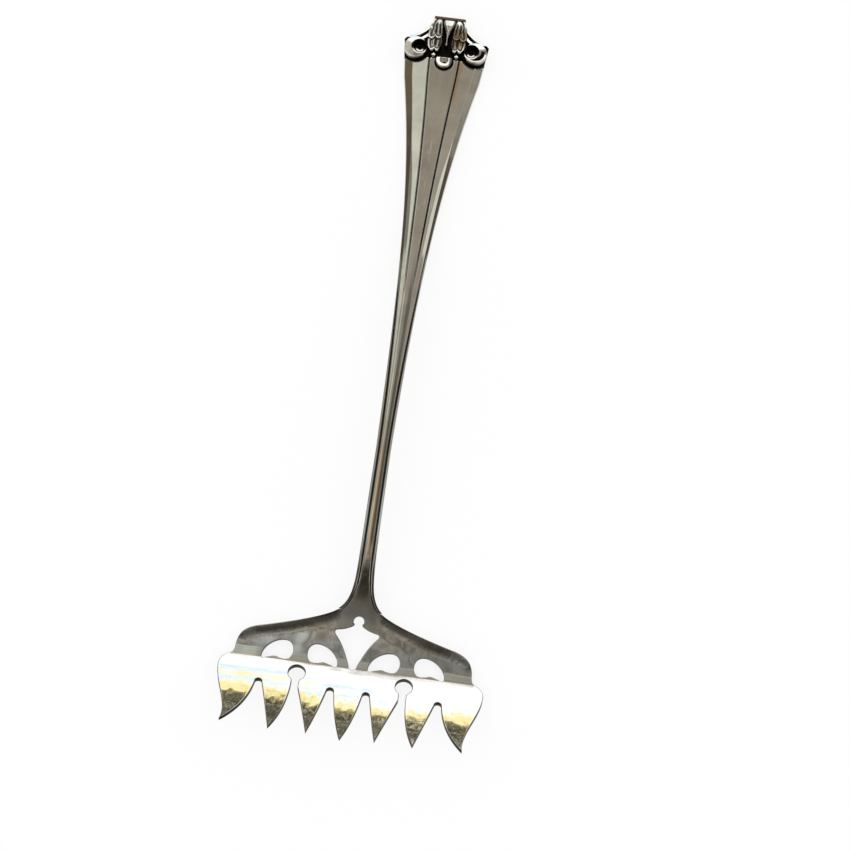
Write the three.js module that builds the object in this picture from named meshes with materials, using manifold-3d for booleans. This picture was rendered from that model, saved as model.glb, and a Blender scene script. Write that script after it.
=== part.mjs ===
// Sardine fork: a pierced head with seven tines, a tapered panelled handle and a classical capital at its end.
// Millimetres, +Z up. The fork lies front up on a table: tines towards -Y, handle end towards +Y, X across.
// The origin is on the table, under the middle of the fork.

import * as THREE from 'three';
import { mergeVertices } from 'three/addons/utils/BufferGeometryUtils.js';
import Module from 'manifold-3d';

const wasm = await Module();
wasm.setup();

// Head: a pierced sheet. Distances along it are measured from the crease, minus towards the handle.
const headWidth = 51.2; // across the outer tines at their widest
const shoulderWidth = 46; // across the shoulder plate at the crease
const shoulderLength = 10.4; // from the crease to the end of the handle's fishtail
const tineReach = 17.5; // from the crease to the tip of the middle tine
const tinePitch = 6.9; // between the axes of neighbouring slots
const slotStart = 5.9; // from the crease to the round end of a slot
const slotWidth = 1.4; // of a slot at its round end
const keyholeStart = 3.5; // from the crease to the centre of a keyhole
const keyholeRadius = 1.65;
const starWidth = 8.8; // across the side points of the star piercing
const starLobeRadius = 1.05; // of the round lobe at its top
const sheetThickness = 1.2;
const tipThickness = 0.7; // of the sheet at the tine tips

// Side view of the head
const shoulderSlope = THREE.MathUtils.degToRad(8); // of the shoulder plate, falling towards the crease
const tineRootSlope = THREE.MathUtils.degToRad(15); // of the tines where they leave the crease
const tineTipSlope = THREE.MathUtils.degToRad(37); // of the tines at their tips
const bendLength = 2.4; // of the bend at the crease
const heelFlat = 0.8; // of the flat under the crease, on which the head rests

// Handle
const handleLength = 131.4; // from the fishtail's end to the top of the capital
const fishtailWidth = 8.6;
const fishtailHeight = 1; // of the fishtail above the sheet
const lapLength = 5.5; // of the sheet's tongue under the fishtail
const solderGap = 0.3; // between the tongue and the handle
const neckWidth = 3.4;
const neckSlope = THREE.MathUtils.degToRad(13); // of the handle's front, rising from the fishtail's end
const stemWidth = 3; // at the waist, the narrowest place
const waistRun = 32; // from the fishtail's end to the waist
const stemDepth = 3; // front to back at the waist
const gripWidth = 16.2; // at the foot of the capital

// Capital at the handle's end
const capitalLength = 14.5;
const capitalWidth = 18.2; // across its corners
const capitalTopWidth = 6.8;
const capitalDepth = 2.4; // of the handle under the ornament
const bellLength = 5.9; // from the corners to the top
const abacusWidth = 0.8; // of the bar across the top
const abacusHeight = 0.9;
const voluteRadius = 2.45;
const voluteHeight = 1.4;
const leafHeight = 1.3;
const centreLeafHeight = 1.1;
const dropRadius = 1.75;
const dropHeight = 1.25;
const ornamentGap = 0.2; // between neighbouring ornaments

const silver = { color: 0xd4d0c8, metalness: 1, roughness: 0.22 };

// Halves and other lengths worked out from the sizes
const headHalf = headWidth / 2;
const shoulderHalf = shoulderWidth / 2;
const fishtailHalf = fishtailWidth / 2;
const neckHalf = neckWidth / 2;
const stemHalf = stemWidth / 2;
const gripHalf = gripWidth / 2;
const capitalHalf = capitalWidth / 2;
const capitalTopHalf = capitalTopWidth / 2;
const tongueEnd = -(shoulderLength + lapLength);

// Helpers for meshes and solids

// Merges shared vertices and leaves out triangles that this shrinks to a line.
function closed(geometry) {
  geometry.deleteAttribute('normal');
  geometry.deleteAttribute('uv');
  const merged = mergeVertices(geometry, 1e-3);
  const corners = merged.index.array;
  const kept = [];
  for (let i = 0; i < corners.length; i += 3) {
    const [a, b, c] = corners.slice(i, i + 3);
    if (a !== b && b !== c && c !== a) kept.push(a, b, c);
  }
  merged.setIndex(kept);
  return merged;
}

function toSolid(geometry) {
  const mesh = closed(geometry);
  return new wasm.Manifold(new wasm.Mesh({
    numProp: 3,
    vertProperties: new Float32Array(mesh.attributes.position.array),
    triVerts: new Uint32Array(mesh.index.array),
  }));
}

function toGeometry(solid) {
  const mesh = solid.getMesh();
  const geometry = new THREE.BufferGeometry();
  geometry.setAttribute('position', new THREE.BufferAttribute(new Float32Array(mesh.vertProperties), 3));
  geometry.setIndex(new THREE.BufferAttribute(new Uint32Array(mesh.triVerts), 1));
  return geometry;
}

function moveVertices(geometry, place) {
  const position = geometry.attributes.position;
  for (let i = 0; i < position.count; i++) {
    const moved = place(position.getX(i), position.getY(i), position.getZ(i));
    position.setXYZ(i, moved.x, moved.y, moved.z);
  }
  return geometry;
}

function extrude(shape, depth) {
  return new THREE.ExtrudeGeometry(shape, { depth, bevelEnabled: false, curveSegments: 8 });
}

// Cuts every triangle along the lines y = cut, so that the mesh can bend there.
function splitAlong(geometry, cuts) {
  const flat = geometry.index ? geometry.toNonIndexed() : geometry;
  const position = flat.attributes.position;
  const corners = [];
  for (let i = 0; i < position.count; i += 3) {
    let pieces = [[0, 1, 2].map((k) => new THREE.Vector3().fromBufferAttribute(position, i + k))];
    for (const cut of cuts) {
      pieces = pieces.flatMap((piece) => [clip(piece, cut, 1), clip(piece, cut, -1)]);
      pieces = pieces.filter((piece) => piece.length > 2);
    }
    for (const piece of pieces) {
      for (let k = 1; k < piece.length - 1; k++) corners.push(piece[0], piece[k], piece[k + 1]);
    }
  }
  return new THREE.BufferGeometry().setFromPoints(corners);
}

// Keeps the part of a convex polygon on one side of the line y = cut.
function clip(polygon, cut, side) {
  const kept = [];
  polygon.forEach((corner, i) => {
    const next = polygon[(i + 1) % polygon.length];
    const here = (corner.y - cut) * side;
    const there = (next.y - cut) * side;
    if (here >= 0) kept.push(corner);
    if (here * there < 0) {
      const [low, high] = corner.y < next.y ? [corner, next] : [next, corner];
      kept.push(low.clone().lerp(high, (cut - low.y) / (high.y - low.y)));
    }
  });
  return kept.some((corner) => (corner.y - cut) * side > 1e-6) ? kept : [];
}

// Side view of the sheet's underside, from the end of the tongue to the tine tips, as straight and bent stretches.
// Each place holds its distance along the sheet, its y and z, and the slope there.
function sideView() {
  const bend = (bendLength - heelFlat) / 2;
  const stretches = [
    { length: shoulderLength + lapLength - bendLength / 2, turn: 0, steps: 1 },
    { length: bend, turn: shoulderSlope, steps: 2 },
    { length: heelFlat, turn: 0, steps: 1 },
    { length: bend, turn: tineRootSlope, steps: 2 },
    { length: tineReach - bendLength / 2, turn: tineTipSlope - tineRootSlope, steps: 6 },
  ];
  let place = { along: tongueEnd, y: 0, z: 0, slope: -shoulderSlope };
  const places = [place];
  for (const { length, turn, steps } of stretches) {
    for (let i = 0; i < steps; i++) {
      const chord = place.slope + turn / steps / 2;
      place = {
        along: place.along + length / steps,
        y: place.y - Math.cos(chord) * length / steps,
        z: place.z + Math.sin(chord) * length / steps,
        slope: place.slope + turn / steps,
      };
      places.push(place);
    }
  }
  // The heel lies on the table, and the whole fork is centred along Y.
  const heelDrop = Math.min(...places.map(({ z }) => z));
  const fishtailBack = places[0].y - Math.cos(shoulderSlope) * lapLength;
  const middle = (fishtailBack + handleLength + place.y) / 2;
  return places.map((p) => ({ ...p, y: p.y - middle, z: p.z - heelDrop }));
}

const side = sideView();

// A point of the head: across, along the sheet, and a share of the thickness above the underside.
function onSheet(across, along, rise) {
  let i = side.findIndex((place) => place.along > along) - 1;
  if (i < 0) i = along > 0 ? side.length - 2 : 0;
  const share = (along - side[i].along) / (side[i + 1].along - side[i].along);
  const end = (place, nearTip) => {
    const thickness = THREE.MathUtils.lerp(sheetThickness, tipThickness, nearTip);
    const height = rise * thickness;
    return new THREE.Vector3(
      across,
      place.y + Math.sin(place.slope) * height,
      place.z + Math.cos(place.slope) * height,
    );
  };
  const nearTip = (place) => THREE.MathUtils.clamp((place.along - slotStart) / (tineReach - slotStart), 0, 1);
  return end(side[i], nearTip(side[i])).lerp(end(side[i + 1], nearTip(side[i + 1])), share);
}

// Head outline and piercings, drawn flat as (across, along)

const tips = [
  { across: 0, along: tineReach },
  { across: 0.94 * tinePitch, along: 0.965 * tineReach },
  { across: 1.98 * tinePitch, along: 0.965 * tineReach },
  { across: 0.896 * headHalf, along: 0.937 * tineReach },
];
// How far each tine's edges keep their width before they run in to the tip: outer edge, inner edge
const edgeBows = [
  { inner: null, outer: 0.68 },
  { inner: 0.5, outer: 0.38 },
  { inner: 0.9, outer: 0.4 },
  { inner: 0.85, outer: null },
];

// Runs one tine edge as a curve. A bow of 0.5 is straight, a larger one keeps the tine broad for longer.
function tineEdge(path, root, tip, bow, toTip) {
  const across = THREE.MathUtils.lerp(root.x, tip.across, 1 - bow);
  const along = THREE.MathUtils.lerp(root.y, tip.along, 0.55);
  if (toTip) path.quadraticCurveTo(across, along, tip.across, tip.along);
  else path.quadraticCurveTo(across, along, root.x, root.y);
}

// Right half of the head's outline, from the top of the tongue round to the tip of the middle tine
function halfOutline() {
  const path = new THREE.Path();
  const tongueHalf = 0.8 * neckHalf;
  path.moveTo(0, tongueEnd);
  path.lineTo(tongueHalf, tongueEnd);
  path.bezierCurveTo(
    tongueHalf, tongueEnd + 0.6 * lapLength,
    0.5 * fishtailHalf, -shoulderLength - 0.12 * lapLength,
    fishtailHalf, -shoulderLength,
  );
  path.bezierCurveTo(
    0.29 * shoulderHalf, -0.83 * shoulderLength,
    0.61 * shoulderHalf, -0.63 * shoulderLength,
    0.835 * shoulderHalf, -0.51 * shoulderLength,
  );
  path.bezierCurveTo(
    0.957 * shoulderHalf, -0.43 * shoulderLength,
    0.996 * shoulderHalf, -0.3 * shoulderLength,
    shoulderHalf, -0.06 * shoulderLength,
  );
  path.bezierCurveTo(
    shoulderHalf, 0.08 * tineReach,
    headHalf, 0.07 * tineReach,
    headHalf, 0.2 * tineReach,
  );
  path.bezierCurveTo(
    headHalf, 0.43 * tineReach,
    0.862 * headHalf, 0.68 * tineReach,
    tips[3].across, tips[3].along,
  );
  for (const slot of [2, 1, 0]) {
    const axis = (slot + 0.5) * tinePitch;
    const radius = slotWidth / 2;
    const rootAlong = slotStart + radius;
    tineEdge(path, new THREE.Vector2(axis + radius, rootAlong), tips[slot + 1], edgeBows[slot + 1].inner, false);
    if (slot === 1) {
      const half = Math.asin(radius / keyholeRadius);
      path.absarc(axis, keyholeStart, keyholeRadius, Math.PI / 2 - half, Math.PI / 2 + half, true);
    } else {
      path.absarc(axis, rootAlong, radius, 0, Math.PI, true);
    }
    const left = new THREE.Vector2(axis - radius, rootAlong);
    path.lineTo(left.x, left.y);
    tineEdge(path, left, tips[slot], edgeBows[slot].outer, true);
  }
  return path.getPoints(6);
}

// Closes a right half with its mirror image. Points on the axis are kept once.
function symmetric(points) {
  const left = points.filter((p) => p.x > 1e-6).map((p) => new THREE.Vector2(-p.x, p.y)).reverse();
  return [...points, ...left];
}

// Right half of the star piercing: a round lobe, a blunt side point and a tapering tail
function halfStar() {
  const path = new THREE.Path();
  const half = starWidth / 2;
  const lobeCentre = -0.82 * shoulderLength;
  path.moveTo(0, lobeCentre - starLobeRadius);
  path.absarc(0, lobeCentre, starLobeRadius, -Math.PI / 2, 0.25 * Math.PI, false);
  path.quadraticCurveTo(0.42 * half, -0.66 * shoulderLength, 0.9 * half, -0.63 * shoulderLength);
  path.quadraticCurveTo(1.05 * half, -0.6 * shoulderLength, 0.9 * half, -0.53 * shoulderLength);
  path.quadraticCurveTo(0.48 * half, -0.34 * shoulderLength, 0.18 * half, 0.02 * shoulderLength);
  path.quadraticCurveTo(0.15 * half, 0.125 * shoulderLength, 0, 0.125 * shoulderLength);
  return path.getPoints(5);
}

// Comma piercing beside a keyhole, with x measured from the keyhole's axis, in shares of the tine pitch
function commaPoints() {
  const path = new THREE.Path();
  path.moveTo(0.2, -0.18);
  path.bezierCurveTo(0.2, -0.36, 0.31, -0.465, 0.46, -0.465);
  path.bezierCurveTo(0.83, -0.465, 1.19, -0.08, 1.035, 0.19);
  path.bezierCurveTo(0.95, 0.12, 0.8, 0.03, 0.667, 0.035);
  path.bezierCurveTo(0.6, 0.04, 0.55, 0.095, 0.42, 0.095);
  path.bezierCurveTo(0.29, 0.095, 0.2, -0.03, 0.2, -0.18);
  return path.getPoints(4).map((p) => p.multiplyScalar(tinePitch));
}

function headGeometry() {
  const shape = new THREE.Shape(symmetric(halfOutline()));
  shape.holes.push(new THREE.Path(symmetric(halfStar())));
  const comma = commaPoints();
  const keyholeAxis = 1.5 * tinePitch;
  for (const sign of [1, -1]) {
    for (const away of [1, -1]) {
      shape.holes.push(new THREE.Path(comma.map((p) => new THREE.Vector2(sign * (keyholeAxis + away * p.x), p.y))));
    }
  }
  // The drawing's second axis runs towards the tines, so it is turned over to keep the faces pointing out.
  const sheet = splitAlong(extrude(shape, 1), side.slice(1, -1).map((place) => place.along));
  return closed(moveVertices(sheet, (across, along, rise) => onSheet(across, along, 1 - rise)));
}

// Handle: a panelled section carried along the fork. Runs are measured from the fishtail's end.

const fishtailEnd = onSheet(0, -shoulderLength, 0).y;
const neckRun = onSheet(0, tongueEnd, 1).y - fishtailEnd;
const footRun = handleLength - capitalLength;
const cornerRun = handleLength - bellLength;

function halfWidthAt(run) {
  if (run <= waistRun) {
    const flare = (fishtailHalf - neckHalf) * Math.exp(-run / (0.4 * lapLength));
    return stemHalf + (neckHalf - stemHalf) * (1 - run / waistRun) + flare;
  }
  if (run <= footRun) {
    const share = (run - waistRun) / (footRun - waistRun);
    return THREE.MathUtils.lerp(stemHalf, gripHalf, 0.21 * share + 0.79 * share ** 3);
  }
  return THREE.MathUtils.mapLinear(run, footRun, cornerRun, gripHalf, capitalHalf);
}

// Height of the sheet under the fishtail: 0 at its underside, 1 at its front
function sheetHeight(run, rise) {
  return onSheet(0, tongueEnd, rise).z + (run - neckRun) * Math.tan(shoulderSlope);
}

// Height of the handle's front: a low arch from the fishtail's end down to the level capital
function frontAt(run) {
  if (run >= footRun) return capitalDepth;
  const t = run / footRun;
  const start = sheetHeight(0, 1) + fishtailHeight;
  const rise = footRun * Math.tan(neckSlope);
  return start * (2 * t ** 3 - 3 * t ** 2 + 1) + rise * (t ** 3 - 2 * t ** 2 + t) + capitalDepth * (3 * t ** 2 - 2 * t ** 3);
}

// Front to back: flush with the sheet's underside at the neck, then the stem's depth, then the capital's
function depthAt(run) {
  if (run <= neckRun) return frontAt(run) - sheetHeight(run, 0);
  const neckDepth = frontAt(neckRun) - sheetHeight(neckRun, 0);
  const toWaist = THREE.MathUtils.smoothstep(run, neckRun, waistRun);
  const toCapital = THREE.MathUtils.smoothstep(run, waistRun, footRun);
  return THREE.MathUtils.lerp(THREE.MathUtils.lerp(neckDepth, stemDepth, toWaist), capitalDepth, toCapital);
}

// Right half of the handle's section, as shares of the half width and of the depth below the front:
// flat centre panel, groove, sloping side panel, bevelled edge, then the plain back
const halfSection = [
  [0.33, 0], [0.37, -0.1], [0.41, -0.01], [0.78, -0.12], [1, -0.42], [1, -0.6], [0.8, -1],
].map(([x, y]) => new THREE.Vector2(x, y));

function handleStations() {
  const stations = [];
  const add = (from, to, count) => {
    for (let i = 0; i < count; i++) {
      const run = THREE.MathUtils.lerp(from, to, i / count);
      stations.push({ run, half: halfWidthAt(run) });
    }
  };
  add(0, lapLength, 6);
  add(lapLength, waistRun, 5);
  add(waistRun, footRun - capitalDepth, 16);
  add(footRun - capitalDepth, footRun, 1);
  add(footRun, cornerRun, 2);
  const bell = new THREE.QuadraticBezierCurve(
    new THREE.Vector2(cornerRun, capitalHalf),
    new THREE.Vector2(handleLength - 0.6 * bellLength, capitalTopHalf),
    new THREE.Vector2(handleLength, capitalTopHalf),
  );
  for (const point of bell.getPoints(8)) stations.push({ run: point.x, half: point.y });
  return stations;
}

function handleGeometry() {
  const section = new THREE.Shape(symmetric(halfSection));
  const stations = handleStations();
  const last = stations.length - 1;
  const bar = new THREE.ExtrudeGeometry(section, { depth: last, steps: last, bevelEnabled: false });
  moveVertices(bar, (across, depth, place) => {
    const { run, half } = stations[Math.round(place)];
    const onFront = depth > -0.5;
    const panelled = run < footRun ? 1 : 0;
    const below = onFront ? depth * panelled : depth;
    return new THREE.Vector3(-across * half, fishtailEnd + run, frontAt(run) + below * depthAt(run));
  });
  // The lap that takes the sheet's tongue, with the solder gap round it
  const lap = new THREE.BoxGeometry(2 * fishtailWidth, 1, 1);
  const lapFrom = tongueEnd - solderGap;
  const lapTo = -shoulderLength + fishtailHeight;
  const lapTop = 1 + solderGap / sheetThickness;
  moveVertices(lap, (across, along, rise) => onSheet(
    across,
    along < 0 ? lapTo : lapFrom,
    rise < 0 ? -2 : lapTop,
  ));
  return toGeometry(toSolid(bar).subtract(toSolid(lap)));
}

// Capital: ornaments with flat backs, drawn from z = 0 up and placed on the handle's level end

const seatTop = fishtailEnd + handleLength;
const seatFoot = seatTop - capitalLength;
const voluteAcross = capitalHalf - ornamentGap - 1.02 * voluteRadius;
const voluteAlong = seatTop - bellLength - 0.95 * voluteRadius;
const dropAlong = seatFoot + ornamentGap + 2.15 * dropRadius;
const ornamentTop = seatTop - abacusWidth - ornamentGap;
const leafBottom = dropAlong + dropRadius + ornamentGap;
const innerLimit = voluteAcross - voluteRadius - ornamentGap;

// Extrudes an ornament and draws its front in towards its middle, so that its sides slope.
function relief(shape, height, share) {
  const geometry = extrude(shape, height);
  geometry.computeBoundingBox();
  const middle = geometry.boundingBox.getCenter(new THREE.Vector3());
  return closed(moveVertices(geometry, (x, y, z) => {
    const draw = z > height / 2 ? share : 1;
    return new THREE.Vector3(middle.x + (x - middle.x) * draw, middle.y + (y - middle.y) * (1 + draw) / 2, z);
  }));
}

// Scroll of one and three quarter turns, wound from its outer end in towards the eye
function voluteGeometry(turn) {
  const plate = new THREE.CylinderGeometry(voluteRadius, voluteRadius, 0.4 * voluteHeight, 28);
  plate.rotateX(Math.PI / 2).translate(0, 0, 0.2 * voluteHeight);
  const eye = new THREE.CylinderGeometry(0.22 * voluteRadius, 0.26 * voluteRadius, voluteHeight, 12);
  eye.rotateX(Math.PI / 2).translate(0, 0, voluteHeight / 2);
  const steps = 30;
  const edge = (offset) => Array.from({ length: steps + 1 }, (_, i) => {
    const share = i / steps;
    const angle = Math.PI / 4 + 3.5 * Math.PI * share;
    const radius = voluteRadius * (0.87 - 0.6 * share + offset);
    return new THREE.Vector2(turn * radius * Math.cos(angle), radius * Math.sin(angle));
  });
  const band = extrude(new THREE.Shape([...edge(0.13), ...edge(-0.08).reverse()]), voluteHeight * 0.9);
  return toGeometry(toSolid(plate).add(toSolid(band)).add(toSolid(eye)));
}

// Acanthus leaf with three lobes along its outer edge. Each lobe swells to a tip and runs in to a notch below it.
function leafGeometry(hand) {
  const length = ornamentTop - leafBottom;
  const centreEdge = 0.36 * capitalTopHalf + ornamentGap;
  const outerTop = 0.98 * capitalTopHalf;
  const lobes = [
    { tip: 1.3 * outerTop, tipAt: 0.3, notch: 1.1 * outerTop, notchAt: 0.42 },
    { tip: 1.35 * outerTop, tipAt: 0.58, notch: outerTop, notchAt: 0.72 },
    { tip: Math.min(innerLimit, 1.05 * outerTop), tipAt: 0.95, notch: 0.5 * innerLimit, notchAt: 1 },
  ];
  const shape = new THREE.Shape();
  shape.moveTo(hand * 0.5 * centreEdge, leafBottom + 0.12 * length);
  shape.lineTo(hand * centreEdge, ornamentTop);
  shape.lineTo(hand * outerTop, ornamentTop);
  for (const { tip, tipAt, notch, notchAt } of lobes) {
    shape.quadraticCurveTo(hand * tip, ornamentTop - tipAt * length, hand * notch, ornamentTop - notchAt * length);
  }
  return relief(shape, leafHeight, 0.7);
}

function centreLeafGeometry() {
  const topHalf = 0.36 * capitalTopHalf;
  const footHalf = 0.1 * capitalTopHalf;
  const length = ornamentTop - leafBottom;
  const shape = new THREE.Shape();
  shape.moveTo(-footHalf, leafBottom + 0.2 * length);
  shape.lineTo(footHalf, leafBottom + 0.2 * length);
  shape.quadraticCurveTo(footHalf, ornamentTop - 0.4 * length, topHalf, ornamentTop);
  shape.lineTo(-topHalf, ornamentTop);
  shape.quadraticCurveTo(-footHalf, ornamentTop - 0.4 * length, -footHalf, leafBottom + 0.2 * length);
  return relief(shape, centreLeafHeight, 0.7);
}

function abacusGeometry() {
  const profile = new THREE.Shape();
  profile.moveTo(0, 0);
  profile.lineTo(abacusWidth, 0);
  profile.lineTo(abacusWidth, abacusHeight - abacusWidth / 2);
  profile.absarc(abacusWidth / 2, abacusHeight - abacusWidth / 2, abacusWidth / 2, 0, Math.PI, false);
  const bar = extrude(profile, capitalTopWidth);
  bar.translate(0, 0, -capitalTopWidth / 2);
  return closed(moveVertices(bar, (along, up, across) => new THREE.Vector3(across, along, up)));
}

function dropGeometry() {
  const dome = new THREE.EllipseCurve(0, 0, dropRadius, dropHeight, 0, Math.PI / 2);
  const profile = [new THREE.Vector2(0, 0), ...dome.getPoints(7)];
  profile[profile.length - 1].x = 0;
  return closed(new THREE.LatheGeometry(profile, 24).rotateX(Math.PI / 2));
}

const fork = new THREE.Group();

function addPiece(name, geometry, parent = fork) {
  const piece = new THREE.Mesh(geometry, new THREE.MeshStandardMaterial({ ...silver, flatShading: true }));
  piece.name = name;
  parent.add(piece);
  return piece;
}

addPiece('handle', handleGeometry());
addPiece('fork_head', headGeometry());

const capital = new THREE.Group();
capital.position.z = capitalDepth;
fork.add(capital);
addPiece('abacus', abacusGeometry(), capital).position.y = seatTop - abacusWidth;
addPiece('volute_left', voluteGeometry(1), capital).position.set(-voluteAcross, voluteAlong, 0);
addPiece('volute_right', voluteGeometry(-1), capital).position.set(voluteAcross, voluteAlong, 0);
addPiece('leaf_left', leafGeometry(-1), capital);
addPiece('leaf_right', leafGeometry(1), capital);
addPiece('centre_leaf', centreLeafGeometry(), capital);
addPiece('drop', dropGeometry(), capital).position.y = dropAlong;

export default fork;
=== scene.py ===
"""Dresses the solids of a sardine fork: a pierced head, a panelled handle and a capital in relief"""

import functools
import math

import bmesh
import bpy
from bpy.props import FloatProperty, FloatVectorProperty, PointerProperty
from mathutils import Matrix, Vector
from mathutils.geometry import interpolate_bezier
from mathutils.kdtree import KDTree


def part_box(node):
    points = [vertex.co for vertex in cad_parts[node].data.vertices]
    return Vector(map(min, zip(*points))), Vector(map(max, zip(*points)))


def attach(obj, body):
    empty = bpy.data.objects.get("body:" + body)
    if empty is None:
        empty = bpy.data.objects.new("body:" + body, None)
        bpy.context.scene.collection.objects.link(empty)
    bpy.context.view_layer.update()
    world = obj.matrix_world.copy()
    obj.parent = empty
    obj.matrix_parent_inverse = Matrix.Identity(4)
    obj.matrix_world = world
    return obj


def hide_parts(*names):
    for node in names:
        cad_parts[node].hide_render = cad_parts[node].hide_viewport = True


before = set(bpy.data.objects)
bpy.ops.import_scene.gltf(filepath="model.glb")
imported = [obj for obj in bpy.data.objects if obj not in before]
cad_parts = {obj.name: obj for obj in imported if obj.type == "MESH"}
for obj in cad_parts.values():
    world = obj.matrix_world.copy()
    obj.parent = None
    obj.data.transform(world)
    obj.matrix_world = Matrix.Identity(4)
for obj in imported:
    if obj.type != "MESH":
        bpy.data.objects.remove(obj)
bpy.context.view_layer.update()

bl_info = {
    "name": "Sardine fork",
    "version": (1, 0, 0),
    "blender": (4, 5, 0),
    "location": "View3D > Sidebar > Fork",
    "description": "Models a silver sardine fork with a pierced head and a capital in relief",
    "category": "Add Mesh",
}

MM = 0.001
HANDLE_LOW, HANDLE_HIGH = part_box("handle")
HEAD_LOW, HEAD_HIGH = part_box("fork_head")


# Settings

def length(name, description, millimetres):
    return FloatProperty(
        name=name, description=description, default=millimetres * MM,
        precision=5, subtype="DISTANCE", unit="LENGTH",
    )


def angle(name, description, degrees):
    return FloatProperty(
        name=name, description=description, default=math.radians(degrees), subtype="ANGLE", unit="ROTATION",
    )


def share(name, description, default):
    return FloatProperty(name=name, description=description, default=default, min=0, max=2, subtype="FACTOR")


def colour(name, description, default):
    return FloatVectorProperty(
        name=name, description=description, default=default, size=3, min=0, max=1, subtype="COLOR",
    )


class ForkHeadSizes(bpy.types.PropertyGroup):
    """Sizes of the pierced head, measured along its sheet from the crease"""

    width: length("Width", "Across the outer tines at their widest", (HEAD_HIGH.x - HEAD_LOW.x) / MM)
    shoulder_width: length("Shoulder width", "Across the shoulder plate at the crease", 46)
    shoulder_length: length("Shoulder length", "From the crease to the end of the fishtail", 10.4)
    tine_reach: length("Tine reach", "From the crease to the tip of the middle tine", 17.5)
    tine_pitch: length("Tine pitch", "Between the axes of neighbouring slots", 6.9)
    slot_start: length("Slot start", "From the crease to the round end of a slot", 5.9)
    slot_width: length("Slot width", "Across a slot at its round end", 1.4)
    keyhole_start: length("Keyhole start", "From the crease to the centre of a keyhole", 3.5)
    keyhole_radius: length("Keyhole radius", "Of the round end of the two keyhole slots", 1.65)
    star_width: length("Star width", "Across the side points of the star piercing", 8.8)
    star_lobe: length("Star lobe", "Radius of the round lobe at the star's top", 1.05)
    thickness: length("Thickness", "Of the sheet", 1.2)
    tip_thickness: length("Tip thickness", "Of the sheet at the tine tips", 0.7)
    shoulder_slope: angle("Shoulder slope", "Fall of the shoulder plate towards the crease", 8)
    root_slope: angle("Root slope", "Rise of the tines where they leave the crease", 15)
    tip_slope: angle("Tip slope", "Rise of the tines at their tips", 37)
    bend_length: length("Bend length", "Of the bend at the crease", 2.4)
    heel_flat: length("Heel flat", "Of the flat under the crease", 0.8)
    rim: length("Rim", "Radius to which the polished edges are rounded", 0.14)
    point: length("Point", "How far back from its point a corner is rounded", 0.3)
    lip: length("Lip", "How far the shoulder's upper edges are turned up", 0.25)
    lip_width: length("Lip width", "Of the turned up edges", 1.9)


class ForkHandleSizes(bpy.types.PropertyGroup):
    """Sizes of the handle, measured from the end of its fishtail"""

    length: length("Length", "From the fishtail's end to the top", (HANDLE_HIGH.y - HANDLE_LOW.y) / MM)
    fishtail_width: length("Fishtail width", "At the end that lies on the head", 8.6)
    fishtail_height: length("Fishtail height", "Of the stem's line above the sheet at the fishtail's end", 1)
    feather: length("Feather", "Thickness to which the fishtail's end is filed", 0.03)
    feather_run: length("Feather run", "Along which the stem runs down to the feathered end", 11)
    lap: length("Lap", "Of the head's tongue under the fishtail", 5.5)
    neck_width: length("Neck width", "Above the fishtail", 3.4)
    neck_slope: angle("Neck slope", "Rise of the stem from the fishtail", 13)
    stem_width: length("Stem width", "At the waist, the narrowest place", 3)
    waist: length("Waist", "From the fishtail's end to the waist", 32)
    stem_depth: length("Stem depth", "Front to back at the waist", 3)
    grip_width: length("Grip width", "At the foot of the capital", 16.2)
    groove_width: length("Groove width", "Half the width of the grooves between the panels", 0.18)
    groove_depth: length("Groove depth", "Of the grooves between the panels", 0.26)
    groove_place: share("Groove place", "Of the grooves on the grip, as a share of the half width", 0.37)
    stem_groove_place: share("Stem groove place", "Of the grooves on the stem", 0.25)
    quirk_width: length("Quirk width", "Half the width of the dark quirks along the stem's outer beads", 0.22)
    quirk_depth: length("Quirk depth", "Of the quirks along the stem's outer beads", 0.2)
    quirk_place: share("Quirk place", "Of the quirks at the waist, as a share of the half width", 0.59)
    bevel_place: share("Bevel place", "Of the bevels half way along, as a share of the half width", 0.81)
    top_bevel_place: share("Top bevel place", "Of the bevels beside the capital", 0.78)
    panel_slope: angle("Panel slope", "At which the side panels fall to their outer edges", 5)
    facet_width: length("Facet width", "Of the facet between a side panel and its bevel", 0.7)
    facet_slope: angle("Facet slope", "At which the facets fall", 15)
    bevel_slope: angle("Bevel slope", "At which the bevels fall half way along the handle", 32)
    top_bevel_slope: angle("Top bevel slope", "At which the bevels fall beside the capital", 22)


class ForkCapitalSizes(bpy.types.PropertyGroup):
    """Sizes of the capital and its ornaments"""

    length: length("Length", "Of the level end of the handle", 14.5)
    width: length("Width", "Across the corners", HANDLE_HIGH.x * 2 / MM)
    top_width: length("Top width", "Across the top", 6.8)
    depth: length("Depth", "Of the handle under the ornaments", 2.4)
    bell: length("Bell", "From the corners to the top", 5.9)
    ground: length("Ground", "How far the ground between the ornaments is sunk", 0.35)
    bead_width: length("Bead width", "Of the raised bead along the bell's edges", 0.7)
    bead_height: length("Bead height", "Of the raised bead above the panels", 0.4)
    bead_slope: angle("Bead slope", "At which the beads fall to the bell's edges", 9)
    ear: length("Ear", "Radius of the ears beside the drop", 0.62)
    leaf_height: length("Leaf height", "Of the leaves above the panels", 1.2)
    leaf_top: length("Leaf top", "Length of the sloping tops of the leaves", 1.3)
    leaf_slope: angle("Leaf slope", "Of the tops and of the rolled edges of the leaves", 6)
    leaf_lean: angle("Leaf lean", "Fall of the leaves from their lower tips to their tops", 3.5)
    leaf_roll: length("Leaf roll", "Width of the rolled edges of the leaves", 0.5)
    scallop: length("Scallop", "Depth of the scallops along the lower edges of the leaves", 0.55)
    flute: length("Flute", "Depth of the flutes in the leaves", 0.24)


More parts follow.
